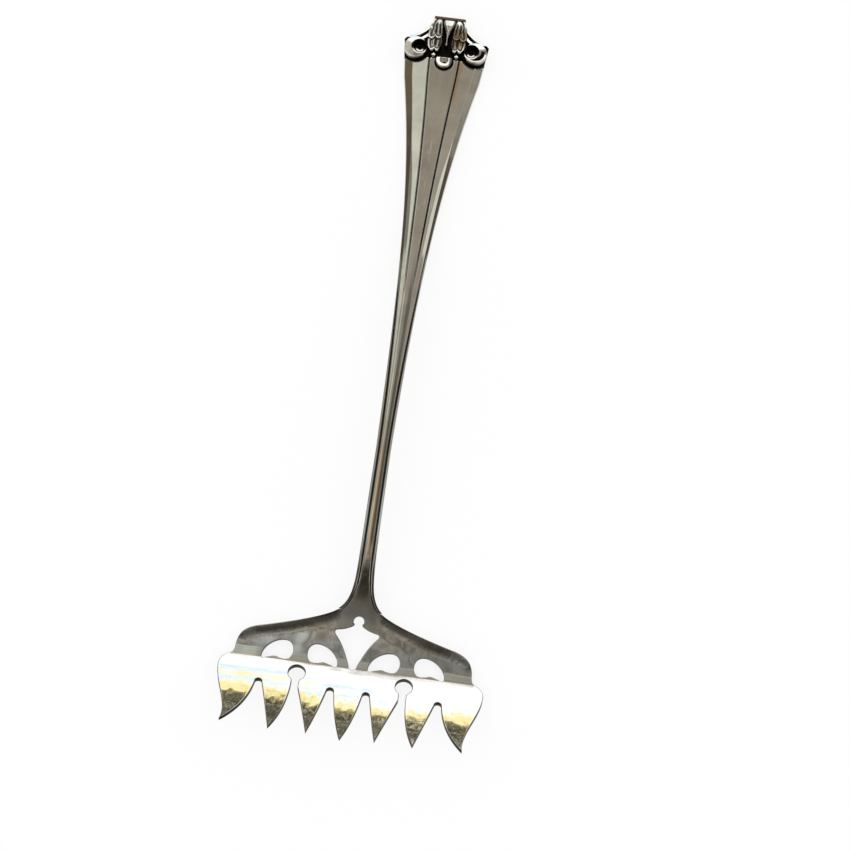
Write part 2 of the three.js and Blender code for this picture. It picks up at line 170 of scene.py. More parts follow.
class ForkFinish(bpy.types.PropertyGroup):
    """Colours and wear of the silver, with the tints of its painted reflections"""

    silver: colour("Silver", "Polished silver", (0.93, 0.91, 0.87))
    warm: colour("Warm tarnish", "Thin tarnish that lies in patches", (0.6, 0.5, 0.38))
    violet: colour("Violet tarnish", "Thicker tarnish inside the patches", (0.5, 0.38, 0.4))
    # Painted bluish reflection in streaks along the crease
    crease_reflection: colour("Cool tarnish", "Bluish streaks above the crease", (0.82, 0.9, 1.0))
    # Amber toning, also the colour of a painted warm glint under the capital and a painted warm reflection on
    # the right leaf
    tone: colour("Stem tone", "Amber toning along the stem", (0.9, 0.58, 0.32))
    oxide: colour("Oxide", "Dark oxide in the recesses", (0.01, 0.009, 0.008))
    gloss: share("Roughness", "Of the polished faces", 0.06)
    worn: share("Worn roughness", "Of the fine scratches", 0.17)


class ForkStage(bpy.types.PropertyGroup):
    """Floor, light and camera"""

    floor: colour("Floor", "Pale floor", (0.99, 0.99, 0.985))
    glow: share("Floor glow", "Share of plain white in the floor, which softens the shadow", 0.8)
    azimuth: angle("Azimuth", "Of the camera round the fork", 7.86)
    elevation: angle("Elevation", "Of the camera above the floor", 71.45)
    distance: length("Distance", "From the camera to its target", 372)
    target: FloatVectorProperty(
        name="Target", description="Point that the camera looks at", default=(0.00725, -0.01389, 0.004),
        subtype="TRANSLATION", unit="LENGTH", precision=5,
    )
    lens: FloatProperty(
        name="Lens", description="Focal length", default=79.33, subtype="DISTANCE_CAMERA", unit="CAMERA",
    )


class ForkSettings(bpy.types.PropertyGroup):
    """All settings of the fork"""

    head: PointerProperty(type=ForkHeadSizes, name="Head", description="Sizes of the head")
    handle: PointerProperty(type=ForkHandleSizes, name="Handle", description="Sizes of the handle")
    capital: PointerProperty(type=ForkCapitalSizes, name="Capital", description="Sizes of the capital")
    finish: PointerProperty(type=ForkFinish, name="Finish", description="Colours and wear")
    stage: PointerProperty(type=ForkStage, name="Stage", description="Floor, light and camera")


# Shared helpers

def lerp(start, end, part):
    return start + (end - start) * part


def smooth(low, high, value):
    part = min(max((value - low) / (high - low), 0), 1)
    return part * part * (3 - 2 * part)


def hermite(start, start_slope, end, end_slope, part):
    """A curve from start to end with set slopes at both, by its part of the way"""
    square = part ** 2
    cube = part ** 3
    return (
        start * (2 * cube - 3 * square + 1)
        + start_slope * (cube - 2 * square + part)
        + end * (3 * square - 2 * cube)
        + end_slope * (cube - square)
    )


def rounded(reach, width):
    """1 inside a reach of 1, falling along a quarter circle of the given width to 0 there"""
    return math.sqrt(max(1 - max((reach - 1 + width) / width, 0) ** 2, 0))


def steps_between(start, end, count):
    """Even steps from start up to, but not including, end"""
    return [lerp(start, end, i / count) for i in range(count)]


class Drawing:
    """A flat outline, drawn as lines, curves and arcs"""

    def __init__(self, x, y):
        self.points = [Vector((x, y, 0))]

    def line(self, x, y):
        self.points.append(Vector((x, y, 0)))

    def curve(self, x1, y1, x2, y2, x, y, steps=14):
        knots = [self.points[-1], Vector((x1, y1, 0)), Vector((x2, y2, 0)), Vector((x, y, 0))]
        self.points += interpolate_bezier(*knots, steps + 1)[1:]

    def bow(self, x1, y1, x, y, steps=14):
        start = self.points[-1]
        middle = Vector((x1, y1, 0))
        end = Vector((x, y, 0))
        knots = [start, start.lerp(middle, 2 / 3), end.lerp(middle, 2 / 3), end]
        self.points += interpolate_bezier(*knots, steps + 1)[1:]

    def arc(self, x, y, radius, start, end, steps=16):
        for turn in [lerp(start, end, i / steps) for i in range(steps + 1)]:
            self.points.append(Vector((x + radius * math.cos(turn), y + radius * math.sin(turn), 0)))


def without_doubles(points, least=1e-6):
    kept = []
    for point in points:
        if not kept or (point - kept[-1]).length > least:
            kept.append(point)
    if (kept[0] - kept[-1]).length < least:
        kept.pop()
    return kept


def symmetric(points):
    """Closes a right half with its mirror image"""
    left = [Vector((-p.x, p.y, 0)) for p in reversed(points) if p.x > 1e-7]
    return points + left


def softened(points, cut, least=math.radians(40), most=math.radians(115)):
    """Rounds the corners of a closed outline, except for sharp points and gentle turns"""
    points = without_doubles(points)
    soft = []
    for i, point in enumerate(points):
        before = points[i - 1] - point
        after = points[(i + 1) % len(points)] - point
        if not least < math.pi - before.angle(after) < most:
            soft.append(point)
            continue
        start = point + before.normalized() * min(cut, 0.8 * before.length)
        end = point + after.normalized() * min(cut, 0.8 * after.length)
        soft += interpolate_bezier(start, start.lerp(point, 0.6), end.lerp(point, 0.6), end, 6)
    return without_doubles(soft)


def draw_loop(bm, points):
    corners = [bm.verts.new(point) for point in points]
    return [bm.edges.new((corners[i - 1], corners[i])) for i in range(len(corners))]


def extruded(bm, faces):
    """Extrudes faces in place and returns the new faces and their vertices"""
    made = bmesh.ops.extrude_face_region(bm, geom=faces)["geom"]
    new_faces = [item for item in made if isinstance(item, bmesh.types.BMFace)]
    return new_faces, {vert for face in new_faces for vert in face.verts}


def cut_across(bm, faces, place, normal):
    """Cuts faces along a plane"""
    edges = {edge for face in faces for edge in face.edges}
    verts = {vert for face in faces for vert in face.verts}
    bmesh.ops.bisect_plane(
        bm, geom=[*verts, *edges, *faces], dist=1e-7, plane_co=place, plane_no=normal,
    )


def round_over(bm, faces, radius, steps):
    """Steps a flat region in and out along a quarter circle, and adds one level ring inside it"""
    turns = [math.pi / 2 * i / steps for i in range(steps + 1)]
    insets = [
        (radius * (math.cos(here) - math.cos(after)), radius * (math.sin(after) - math.sin(here)))
        for here, after in zip(turns, turns[1:])
    ]
    level_ring = (0.3 * radius, 0)
    for inward, up in [*insets, level_ring]:
        bmesh.ops.inset_region(
            bm, faces=faces, use_even_offset=True, use_boundary=True, thickness=inward, depth=up,
        )


def tint_and_shade_layers(bm):
    """The vertex layers that the silver reads: dark oxide with painted shade, and amber toning with painted
    warm reflection
    """
    return bm.verts.layers.float.new("tarnish_and_shade"), bm.verts.layers.float.new("toning_and_reflection")


def sunk_foot(capital):
    """Height of the ornaments' undersides, a little below the sunk ground"""
    return capital.depth - 1.1 * capital.ground


def relief(place, foot, columns, rows):
    """A front placed by place(u, v) -> point, darkness from oxide and painted shade, amber from toning and
    painted reflection, over a flat back at the height foot
    """
    bm = bmesh.new()
    bmesh.ops.create_grid(bm, x_segments=columns, y_segments=rows, size=1)
    tarnish_and_shade, toning_and_reflection = tint_and_shade_layers(bm)
    for vert in bm.verts:
        vert.co, vert[tarnish_and_shade], vert[toning_and_reflection] = place((vert.co.x + 1) / 2, (vert.co.y + 1) / 2)
    back = extruded(bm, bm.faces[:])[1]
    for vert in back:
        vert.co.z = foot
        vert[tarnish_and_shade] = 1
    return bm


def round_relief(capital, node, height, rings, steps):
    """A disc in a node's box, with a front raised by height(x, y) -> part, darkness from oxide and painted
    shade, at places in radii
    """
    low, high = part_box(node)
    centre = (low + high) / 2
    radius = (high.x - low.x) / 2
    foot = sunk_foot(capital)
    bm = bmesh.new()
    profile = [(radius * i / rings, high.z) for i in range(rings + 1)] + [(radius, foot), (0, foot)]
    points = [bm.verts.new((away, 0, z)) for away, z in profile]
    edges = [bm.edges.new(pair) for pair in zip(points, points[1:])]
    bmesh.ops.spin(
        bm, geom=points + edges, axis=(0, 0, 1), cent=(0, 0, 0),
        angle=2 * math.pi, steps=steps, use_merge=True,
    )
    bmesh.ops.remove_doubles(bm, verts=bm.verts[:], dist=1e-6)
    tarnish_and_shade = tint_and_shade_layers(bm)[0]
    for vert in bm.verts:
        vert[tarnish_and_shade] = 1
        if vert.co.z > capital.depth:
            part, vert[tarnish_and_shade] = height(vert.co.x / radius, vert.co.y / radius)
            vert.co.z = lerp(capital.depth, high.z, part)
    bmesh.ops.translate(bm, verts=bm.verts[:], vec=(centre.x, centre.y, 0))
    return bm


def finish_piece(context, bm, name, node, slot, crease):
    """Makes a mesh into the piece for a node of the frame, sharp at edges beyond crease degrees"""
    bmesh.ops.recalc_face_normals(bm, faces=bm.faces[:])
    for face in bm.faces:
        face.smooth = True
    mesh = bpy.data.meshes.new(name)
    bm.to_mesh(mesh)
    bm.free()
    mesh.set_sharp_from_angle(angle=math.radians(crease))
    mesh.materials.append(silver_for(context, slot))
    piece = bpy.data.objects.new(name, mesh)
    bpy.context.scene.collection.objects.link(piece)
    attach(piece, "root")
    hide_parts(node)


# Shape of the head's sheet and of the handle

class Sheet:
    """Side view of the head's sheet: where each distance along it lies"""

    def __init__(self, head, handle):
        bend = (head.bend_length - head.heel_flat) / 2
        self.start = -(head.shoulder_length + handle.lap)
        self.slope = -head.shoulder_slope
        self.stretches = [
            (-self.start - head.bend_length / 2, 0),
            (bend, head.shoulder_slope),
            (head.heel_flat, 0),
            (bend, head.root_slope),
            (head.tine_reach - head.bend_length / 2, head.tip_slope - head.root_slope),
        ]
        self.head = head
        self.shift = Vector((0, 0, 0))
        fishtail_end = self.line(-head.shoulder_length)[0]
        heel = self.line(0)[0]
        self.shift = Vector((0, HANDLE_LOW.y - fishtail_end.y, -heel.z))

    def line(self, along):
        """The underside's place and slope at a distance along the sheet"""
        place = Vector((0, 0, 0))
        slope = self.slope
        left = along - self.start
        for i, (reach, turn) in enumerate(self.stretches):
            last = i == len(self.stretches) - 1
            run = left if last or left < reach else reach
            if turn == 0:
                place += Vector((0, -math.cos(slope), math.sin(slope))) * run
            else:
                after = slope + turn * run / reach
                radius = reach / turn
                chord = Vector((0, math.sin(slope) - math.sin(after), math.cos(slope) - math.cos(after)))
                place += chord * radius
                slope = after
            left -= run
            if left <= 0:
                break
        return place + self.shift, slope

    def thickness(self, along):
        part = (along - self.head.slot_start) / (self.head.tine_reach - self.head.slot_start)
        return lerp(self.head.thickness, self.head.tip_thickness, min(max(part, 0), 1))

    def point(self, across, along, rise):
        """A point of the sheet, with rise as a share of its thickness"""
        place, slope = self.line(along)
        height = rise * self.thickness(along)
        return place + Vector((across, math.sin(slope) * height, math.cos(slope) * height))

    def cuts(self):
        """Distances at which the flat sheet is cut so that it can bend"""
        crease = self.head.bend_length / 2
        return (
            steps_between(self.start, -crease, 28)
            + steps_between(-crease, crease, 16)
            + steps_between(crease, self.head.tine_reach, 26)
        )


class Handle:
    """Outline, front and depth of the handle, with runs measured from the fishtail's end"""

    def __init__(self, settings):
        self.sizes = settings.handle
        self.capital = settings.capital
        self.head = settings.head
        self.sheet = Sheet(settings.head, settings.handle)
        self.foot = self.sizes.length - self.capital.length
        self.corner = self.sizes.length - self.capital.bell
        self.neck = self.sheet.point(0, self.sheet.start, 1).y - HANDLE_LOW.y

    def half_width(self, run):
        sizes = self.sizes
        stem = sizes.stem_width / 2
        neck = sizes.neck_width / 2
        grip = sizes.grip_width / 2
        if run <= sizes.waist:
            flare = (sizes.fishtail_width / 2 - neck) * math.exp(-run / (0.4 * sizes.lap))
            return stem + (neck - stem) * (1 - run / sizes.waist) + flare
        if run <= self.foot:
            part = (run - sizes.waist) / (self.foot - sizes.waist)
            return lerp(stem, grip, 0.21 * part + 0.79 * part ** 3)
        return lerp(grip, self.capital.width / 2, (run - self.foot) / (self.corner - self.foot))

    def bell(self, part):
        """The concave side above the corner: run, half width and how squarely the edge is met there"""
        runs = (self.corner, self.sizes.length - 0.6 * self.capital.bell, self.sizes.length)
        halves = (self.capital.width / 2, self.capital.top_width / 2, self.capital.top_width / 2)
        weights = ((1 - part) ** 2, 2 * part * (1 - part), part ** 2)
        run = sum(w * r for w, r in zip(weights, runs))
        half = sum(w * h for w, h in zip(weights, halves))
        ahead = lerp(runs[1] - runs[0], runs[2] - runs[1], part)
        aside = lerp(halves[1] - halves[0], 0, part)
        return run, half, ahead / math.hypot(ahead, aside)

    def sheet_height(self, run, rise):
        at_neck = self.sheet.point(0, self.sheet.start, rise).z
        return at_neck + (run - self.neck) * math.tan(self.head.shoulder_slope)

    def arch(self, run):
        """The stem's line: a low arch from the fishtail down to the level capital"""
        if run >= self.foot:
            return self.capital.depth
        start = self.sheet_height(0, 1) + self.sizes.fishtail_height
        rise = self.foot * math.tan(self.sizes.neck_slope)
        return hermite(start, rise, self.capital.depth, 0, run / self.foot)

    def front(self, run):
        """The arch, run down to a feathered end on the sheet"""
        reach = self.sizes.feather_run
        if run >= reach:
            return self.arch(run)
        low = self.sheet_height(0, 1) + self.sizes.feather
        low_slope = reach * math.tan(self.head.shoulder_slope)
        step = 0.1 * MM
        high = self.arch(reach)
        high_slope = reach * (self.arch(reach + step) - high) / step
        return hermite(low, low_slope, high, high_slope, run / reach)

    def back(self, run):
        """Height of the back: on the sheet under the fishtail, then below the stem"""
        if run <= self.neck:
            return self.sheet_height(run, 1)
        neck_depth = self.arch(self.neck) - self.sheet_height(self.neck, 0)
        to_waist = smooth(self.neck, self.sizes.waist, run)
        to_capital = smooth(self.sizes.waist, self.foot, run)
        depth = lerp(lerp(neck_depth, self.sizes.stem_depth, to_waist), self.capital.depth, to_capital)
        return self.arch(run) - depth


# Materials

class Nodes:
    """Adds and joins the nodes of one material or world"""

    def __init__(self, owner):
        owner.use_nodes = True
        self.tree = owner.node_tree
        self.tree.nodes.clear()

    def add(self, kind, values=None, **settings):
        node = self.tree.nodes.new("ShaderNode" + kind)
        for name, value in settings.items():
            setattr(node, name, value)
        for socket, value in (values or {}).items():
            if isinstance(value, bpy.types.NodeSocket):
                self.tree.links.new(value, node.inputs[socket])
            else:
                node.inputs[socket].default_value = value
        return node

    def math(self, operation, *values):
        return self.add("Math", dict(enumerate(values)), operation=operation).outputs[0]

    def mix(self, part, first, second, blend="MIX"):
        node = self.add("Mix", {0: part, 6: first, 7: second}, data_type="RGBA", blend_type=blend)
        return node.outputs[2]

    def ramp(self, part, stops):
        node = self.add("ValToRGB", {0: part})
        ramp = node.color_ramp
        while len(ramp.elements) < len(stops):
            ramp.elements.new(1)
        for element, (place, tint) in zip(ramp.elements, stops):
            element.position = place
            element.color = (*tint, 1) if isinstance(tint, tuple) else (tint, tint, tint, 1)
        return node.outputs[0]

    def noise(self, vector, scale, detail=2, roughness=0.5):
        values = {"Vector": vector, "Scale": scale, "Detail": detail, "Roughness": roughness}
        return self.add("TexNoise", values).outputs[0]


def scratched(nodes, place):
    """1 on fine scratches that run in three directions"""
    scratches = 0
    for turn, scale in ((0.35, 900), (-0.6, 1300), (1.9, 1100)):
        drawn_out = {"Vector": place, "Rotation": (0, 0, turn), "Scale": (1, 0.03, 1)}
        lines = nodes.noise(nodes.add("Mapping", drawn_out).outputs[0], scale, detail=3, roughness=0.7)
        scratches = nodes.math("MAXIMUM", scratches, nodes.ramp(lines, [(0.6, 0), (0.72, 1)]))
    return scratches


def silver(name, finish, patches):
    """Polished silver with fine scratches, thin tarnish in patches, dark oxide in the recesses with painted
    shade, amber toning with painted warm reflection, and a painted bluish reflection along the crease
    """
    material = bpy.data.materials.new(name)
    nodes = Nodes(material)
    place = nodes.add("TexCoord").outputs["Object"]
    reach = 100 * MM
    along = nodes.math("MULTIPLY_ADD", nodes.add("SeparateXYZ", {0: place}).outputs[1], 1 / reach, 1)

    def by_place(*stops):
        """A ramp over the place along the fork, in millimetres from its middle"""
        return nodes.ramp(along, [(1 + millimetres * MM / reach, value) for millimetres, value in stops])

    def waves(scale):
        return nodes.math("SUBTRACT", nodes.noise(place, scale, detail=1), 0.5)

    scratches = scratched(nodes, place)
    tarnish_and_shade = nodes.add("Attribute", attribute_name="tarnish_and_shade").outputs["Fac"]
    amber = nodes.add("Attribute", attribute_name="toning_and_reflection").outputs["Fac"]

    patch = nodes.ramp(nodes.noise(place, 230, detail=4, roughness=0.6), [(0.42, 0), (0.72, 1)])
    on_plate = by_place((-62, 0), (-58, 2 * patches), (-45, 2 * patches), (-35, patches))
    thin = nodes.math("MULTIPLY", patch, on_plate)
    thick = nodes.ramp(nodes.noise(place, 120, detail=1), [(0.48, 0), (0.62, 1)])
    across = nodes.add("Mapping", {"Vector": place, "Scale": (0.12, 1, 1)}).outputs[0]
    streaks = nodes.ramp(nodes.noise(across, 1500), [(0.4, 0.35), (0.6, 1)])
    by_crease = by_place((-62.5, 0), (-61, 1), (-59.5, 0.8), (-57, 0))
    base = nodes.mix(thin, (*finish.silver, 1), nodes.mix(thick, (*finish.warm, 1), (*finish.violet, 1)))
    # Painted bluish reflection in streaks along the crease
    base = nodes.mix(nodes.math("MULTIPLY", streaks, by_crease), base, (*finish.crease_reflection, 1))
    # Amber toning, with painted warm reflection and glints
    base = nodes.mix(amber, base, (*finish.tone, 1))
    # Dark oxide in the recesses, with painted shade on walls, edges and panels
    base = nodes.mix(tarnish_and_shade, base, (*finish.oxide, 1))

    rough = nodes.math("MULTIPLY_ADD", scratches, finish.worn - finish.gloss, finish.gloss)
    rough = nodes.math("MULTIPLY_ADD", tarnish_and_shade, 0.3, rough)
    hammered = nodes.math("MULTIPLY", waves(150), by_place((-64, 0.35), (-61, 1), (-48, 1), (-35, 0.3)))
    filed = nodes.math("MULTIPLY", waves(500), by_place((-70, 0.2), (-66, 0)))
    uneven = nodes.math("ADD", hammered, filed)
    bump = nodes.add("Bump", {"Height": uneven, "Strength": 1.0, "Distance": 0.18 * MM}).outputs[0]
    fine = {"Height": scratches, "Strength": 0.2, "Distance": 0.002 * MM, "Normal": bump}
    normal = nodes.add("Bump", fine).outputs[0]
    values = {"Base Color": base, "Metallic": 1.0, "Roughness": rough, "Normal": normal}
    shader = nodes.add("BsdfPrincipled", values)
    nodes.add("OutputMaterial", {"Surface": shader.outputs[0]})
    return material


def silver_for(context, slot):
    """The silver of a slot, made once and then shared"""
    name = "polished_" + slot
    finish = context.scene.sardine_fork.finish
    patches = {"silver_handle": 0.3, "silver_head": 0.35, "silver_ornament": 0.5}
    return bpy.data.materials.get(name) or silver(name, finish, patches[slot])


# Pieces

class FORK_OT_head(bpy.types.Operator):
    """Model the pierced head with its seven tines"""

    bl_idname = "sardine_fork.head"
    bl_label = "Head"

    def execute(self, context):
        settings = context.scene.sardine_fork
        head = settings.head
        handle = settings.handle
        sheet = Sheet(head, handle)
        bm = bmesh.new()
        tarnish_and_shade = tint_and_shade_layers(bm)[0]
        edges = []
        for outline in self.outlines(head, handle):
            loop = draw_loop(bm, softened(outline, head.point))
            # Painted shade on the walls of the piercings and of the outline, fainter on the shoulder's
            # outline
            for vert in {vert for edge in loop for vert in edge.verts}:
                on_tines = smooth(0, 0.6 * head.keyhole_start, vert.co.y)
                vert[tarnish_and_shade] = 1 if edges else lerp(0.5, 1, on_tines)
            edges += loop
        bmesh.ops.triangle_fill(bm, use_beauty=True, use_dissolve=False, edges=edges, normal=(0, 0, 1))
        under = bm.faces[:]
        front, raised = extruded(bm, under)
        bmesh.ops.translate(bm, verts=list(raised), vec=(0, 0, head.thickness - 2 * head.rim))
        bmesh.ops.recalc_face_normals(bm, faces=bm.faces[:])
        for region in (front, under):
            round_over(bm, region, head.rim, steps=3)
        for along in sheet.cuts():
            cut_across(bm, bm.faces[:], (0, along, 0), (0, 1, 0))
        for across in steps_between(-head.width / 2, head.width / 2, 56):
            plate = [face for face in bm.faces if face.calc_center_median().y < 0]
            cut_across(bm, plate, (across, 0, 0), (1, 0, 0))
        self.bend(bm, tarnish_and_shade, sheet, head, handle)
        finish_piece(context, bm, "pierced_head", "fork_head", "silver_head", crease=50)
        return {"FINISHED"}

    def bend(self, bm, tarnish_and_shade, sheet, head, handle):
        """Bends the flat head, turns its upper edges up, keeps the painted shade to the middle of the walls,
        paints shade along the upper edges and darkens it beside the fishtail
        """
        edge = self.upper_edge(head, handle)
        for vert in bm.verts:
            rise = (vert.co.z + head.rim) / head.thickness
            # Painted shade stays only in the middle of the walls
            vert[tarnish_and_shade] *= smooth(0.5, 0.47, abs(rise - 0.5))
            lift = 0
            if vert.co.y <= 0:
                across = abs(vert.co.x)
                away = edge.find((across, vert.co.y, 0))[2]
                # Painted shade along the upper edges, and darker beside the fishtail's end, on the front only
                edge_shade = self.edge_shade(head, handle, across, vert.co.y, away) * smooth(0.5, 1, rise)
                vert[tarnish_and_shade] = max(vert[tarnish_and_shade], edge_shade)
                lift = self.lift(head, handle, across, vert.co.y, away) * max(2 * rise - 1, 0)
            vert.co = sheet.point(vert.co.x, vert.co.y, rise)
            vert.co.z += lift

    def outlines(self, head, handle):
        """The outline and the five piercings, drawn flat as (across, along)"""
        comma = self.comma(head.tine_pitch)
        keyhole = 1.5 * head.tine_pitch
        commas = [
            [Vector((hand * (keyhole + away * p.x), p.y, 0)) for p in comma]
            for hand in (1, -1) for away in (1, -1)
        ]
        return [symmetric(self.half_outline(head, handle)), symmetric(self.half_star(head)), *commas]

    def draw_shoulder(self, line, head, long_steps, short_steps):
        """Goes on along the shoulder's upper edge from the fishtail to the crease"""
        shoulder = head.shoulder_width / 2
        rise = head.shoulder_length
        line.curve(
            0.29 * shoulder, -0.83 * rise, 0.61 * shoulder, -0.63 * rise, 0.835 * shoulder, -0.51 * rise,
            long_steps,
        )
        line.curve(
            0.957 * shoulder, -0.43 * rise, 0.996 * shoulder, -0.3 * rise, shoulder, -0.06 * rise,
            short_steps,
        )

    def upper_edge(self, head, handle):
        """Points along the right shoulder's upper edge, close together, to find the nearest one of"""
        line = Drawing(handle.fishtail_width / 2, -head.shoulder_length)
        self.draw_shoulder(line, head, long_steps=50, short_steps=20)
        tree = KDTree(len(line.points))
        for i, point in enumerate(line.points):
            tree.insert(point, i)
        tree.balance()
        return tree

    def lift(self, head, handle, across, along, away):
        """How far the front is turned up near the shoulder's upper edge"""
        rise = head.shoulder_length
        clear = smooth(0.42 * handle.fishtail_width, 0.52 * handle.fishtail_width, across)
        before_crease = 1 - smooth(-0.4 * rise, -0.15 * rise, along)
        return head.lip * clear * before_crease * (1 - smooth(0, head.lip_width, away))

    def edge_shade(self, head, handle, across, along, away):
        """How dark the front is painted: painted shade along the first stretch of the upper edges, and darker
        beside the fishtail's end
        """
        width = handle.fishtail_width
        from_end = math.hypot(max(across - 0.3 * width, 0), max(along + head.shoulder_length, 0))
        stretch = 1 - smooth(0.5 * width, 3 * width, across)
        beside_end = 0.6 * (1 - smooth(0, 5 * MM, from_end))
        beside_edge = 0.95 * stretch * (1 - smooth(0, head.lip_width, away))
        return max(beside_end, beside_edge)

    def half_outline(self, head, handle):
        """From the tongue's end round the right shoulder and tines to the tip of the middle tine"""
        half = head.width / 2
        shoulder = head.shoulder_width / 2
        rise = head.shoulder_length
        reach = head.tine_reach
        pitch = head.tine_pitch
        tongue = 0.4 * handle.neck_width
        tongue_end = -(rise + handle.lap)
        fishtail = handle.fishtail_width / 2
        tips = [(0, 1), (0.94 * pitch, 0.965), (1.98 * pitch, 0.965), (0.896 * half, 0.937)]
        inner_bows = [None, 0.5, 0.9, 0.85]
        outer_bows = [0.68, 0.38, 0.4]

        line = Drawing(0, tongue_end)
        line.line(tongue, tongue_end)
        line.curve(
            tongue, tongue_end + 0.6 * handle.lap, 0.5 * fishtail, -rise - 0.12 * handle.lap, fishtail, -rise,
        )
        self.draw_shoulder(line, head, long_steps=20, short_steps=14)
        line.curve(shoulder, 0.08 * reach, half, 0.07 * reach, half, 0.2 * reach)
        line.curve(half, 0.43 * reach, 0.862 * half, 0.68 * reach, tips[3][0], tips[3][1] * reach, steps=18)
        radius = head.slot_width / 2
        root = head.slot_start + radius
        middle = 0.55
        for slot in (2, 1, 0):
            axis = (slot + 0.5) * pitch
            tip = tips[slot + 1]
            line.bow(
                lerp(axis + radius, tip[0], 1 - inner_bows[slot + 1]), lerp(root, tip[1] * reach, middle),
                axis + radius, root,
            )
            if slot == 1:
                gap = math.asin(radius / head.keyhole_radius)
                line.arc(
                    axis, head.keyhole_start, head.keyhole_radius,
                    math.pi / 2 - gap, math.pi / 2 + gap - 2 * math.pi, steps=28,
                )
            else:
                line.arc(axis, root, radius, 0, -math.pi)
            line.line(axis - radius, root)
            tip = tips[slot]
            line.bow(
                lerp(axis - radius, tip[0], 1 - outer_bows[slot]), lerp(root, tip[1] * reach, middle),
                tip[0], tip[1] * reach,
            )
        return line.points

    def half_star(self, head):
        """A round lobe, a blunt side point and a tapering tail"""
        half = head.star_width / 2
        rise = head.shoulder_length
        line = Drawing(0, -0.82 * rise - head.star_lobe)
        line.arc(0, -0.82 * rise, head.star_lobe, -math.pi / 2, 0.25 * math.pi)
        line.bow(0.42 * half, -0.66 * rise, 0.9 * half, -0.63 * rise)
        line.bow(1.05 * half, -0.6 * rise, 0.9 * half, -0.53 * rise)
        line.bow(0.48 * half, -0.34 * rise, 0.18 * half, 0.02 * rise)
        line.bow(0.15 * half, 0.125 * rise, 0, 0.125 * rise)
        return line.points

    def comma(self, pitch):
        """The piercing beside a keyhole, with x from the keyhole's axis"""
        line = Drawing(0.2, -0.18)
        line.curve(0.2, -0.36, 0.31, -0.465, 0.46, -0.465)
        line.curve(0.83, -0.465, 1.19, -0.08, 1.035, 0.19, steps=20)
        line.curve(0.95, 0.12, 0.8, 0.03, 0.667, 0.035)
        line.curve(0.6, 0.04, 0.55, 0.095, 0.42, 0.095)
        line.curve(0.29, 0.095, 0.2, -0.03, 0.2, -0.18)
        return [p * pitch for p in line.points]


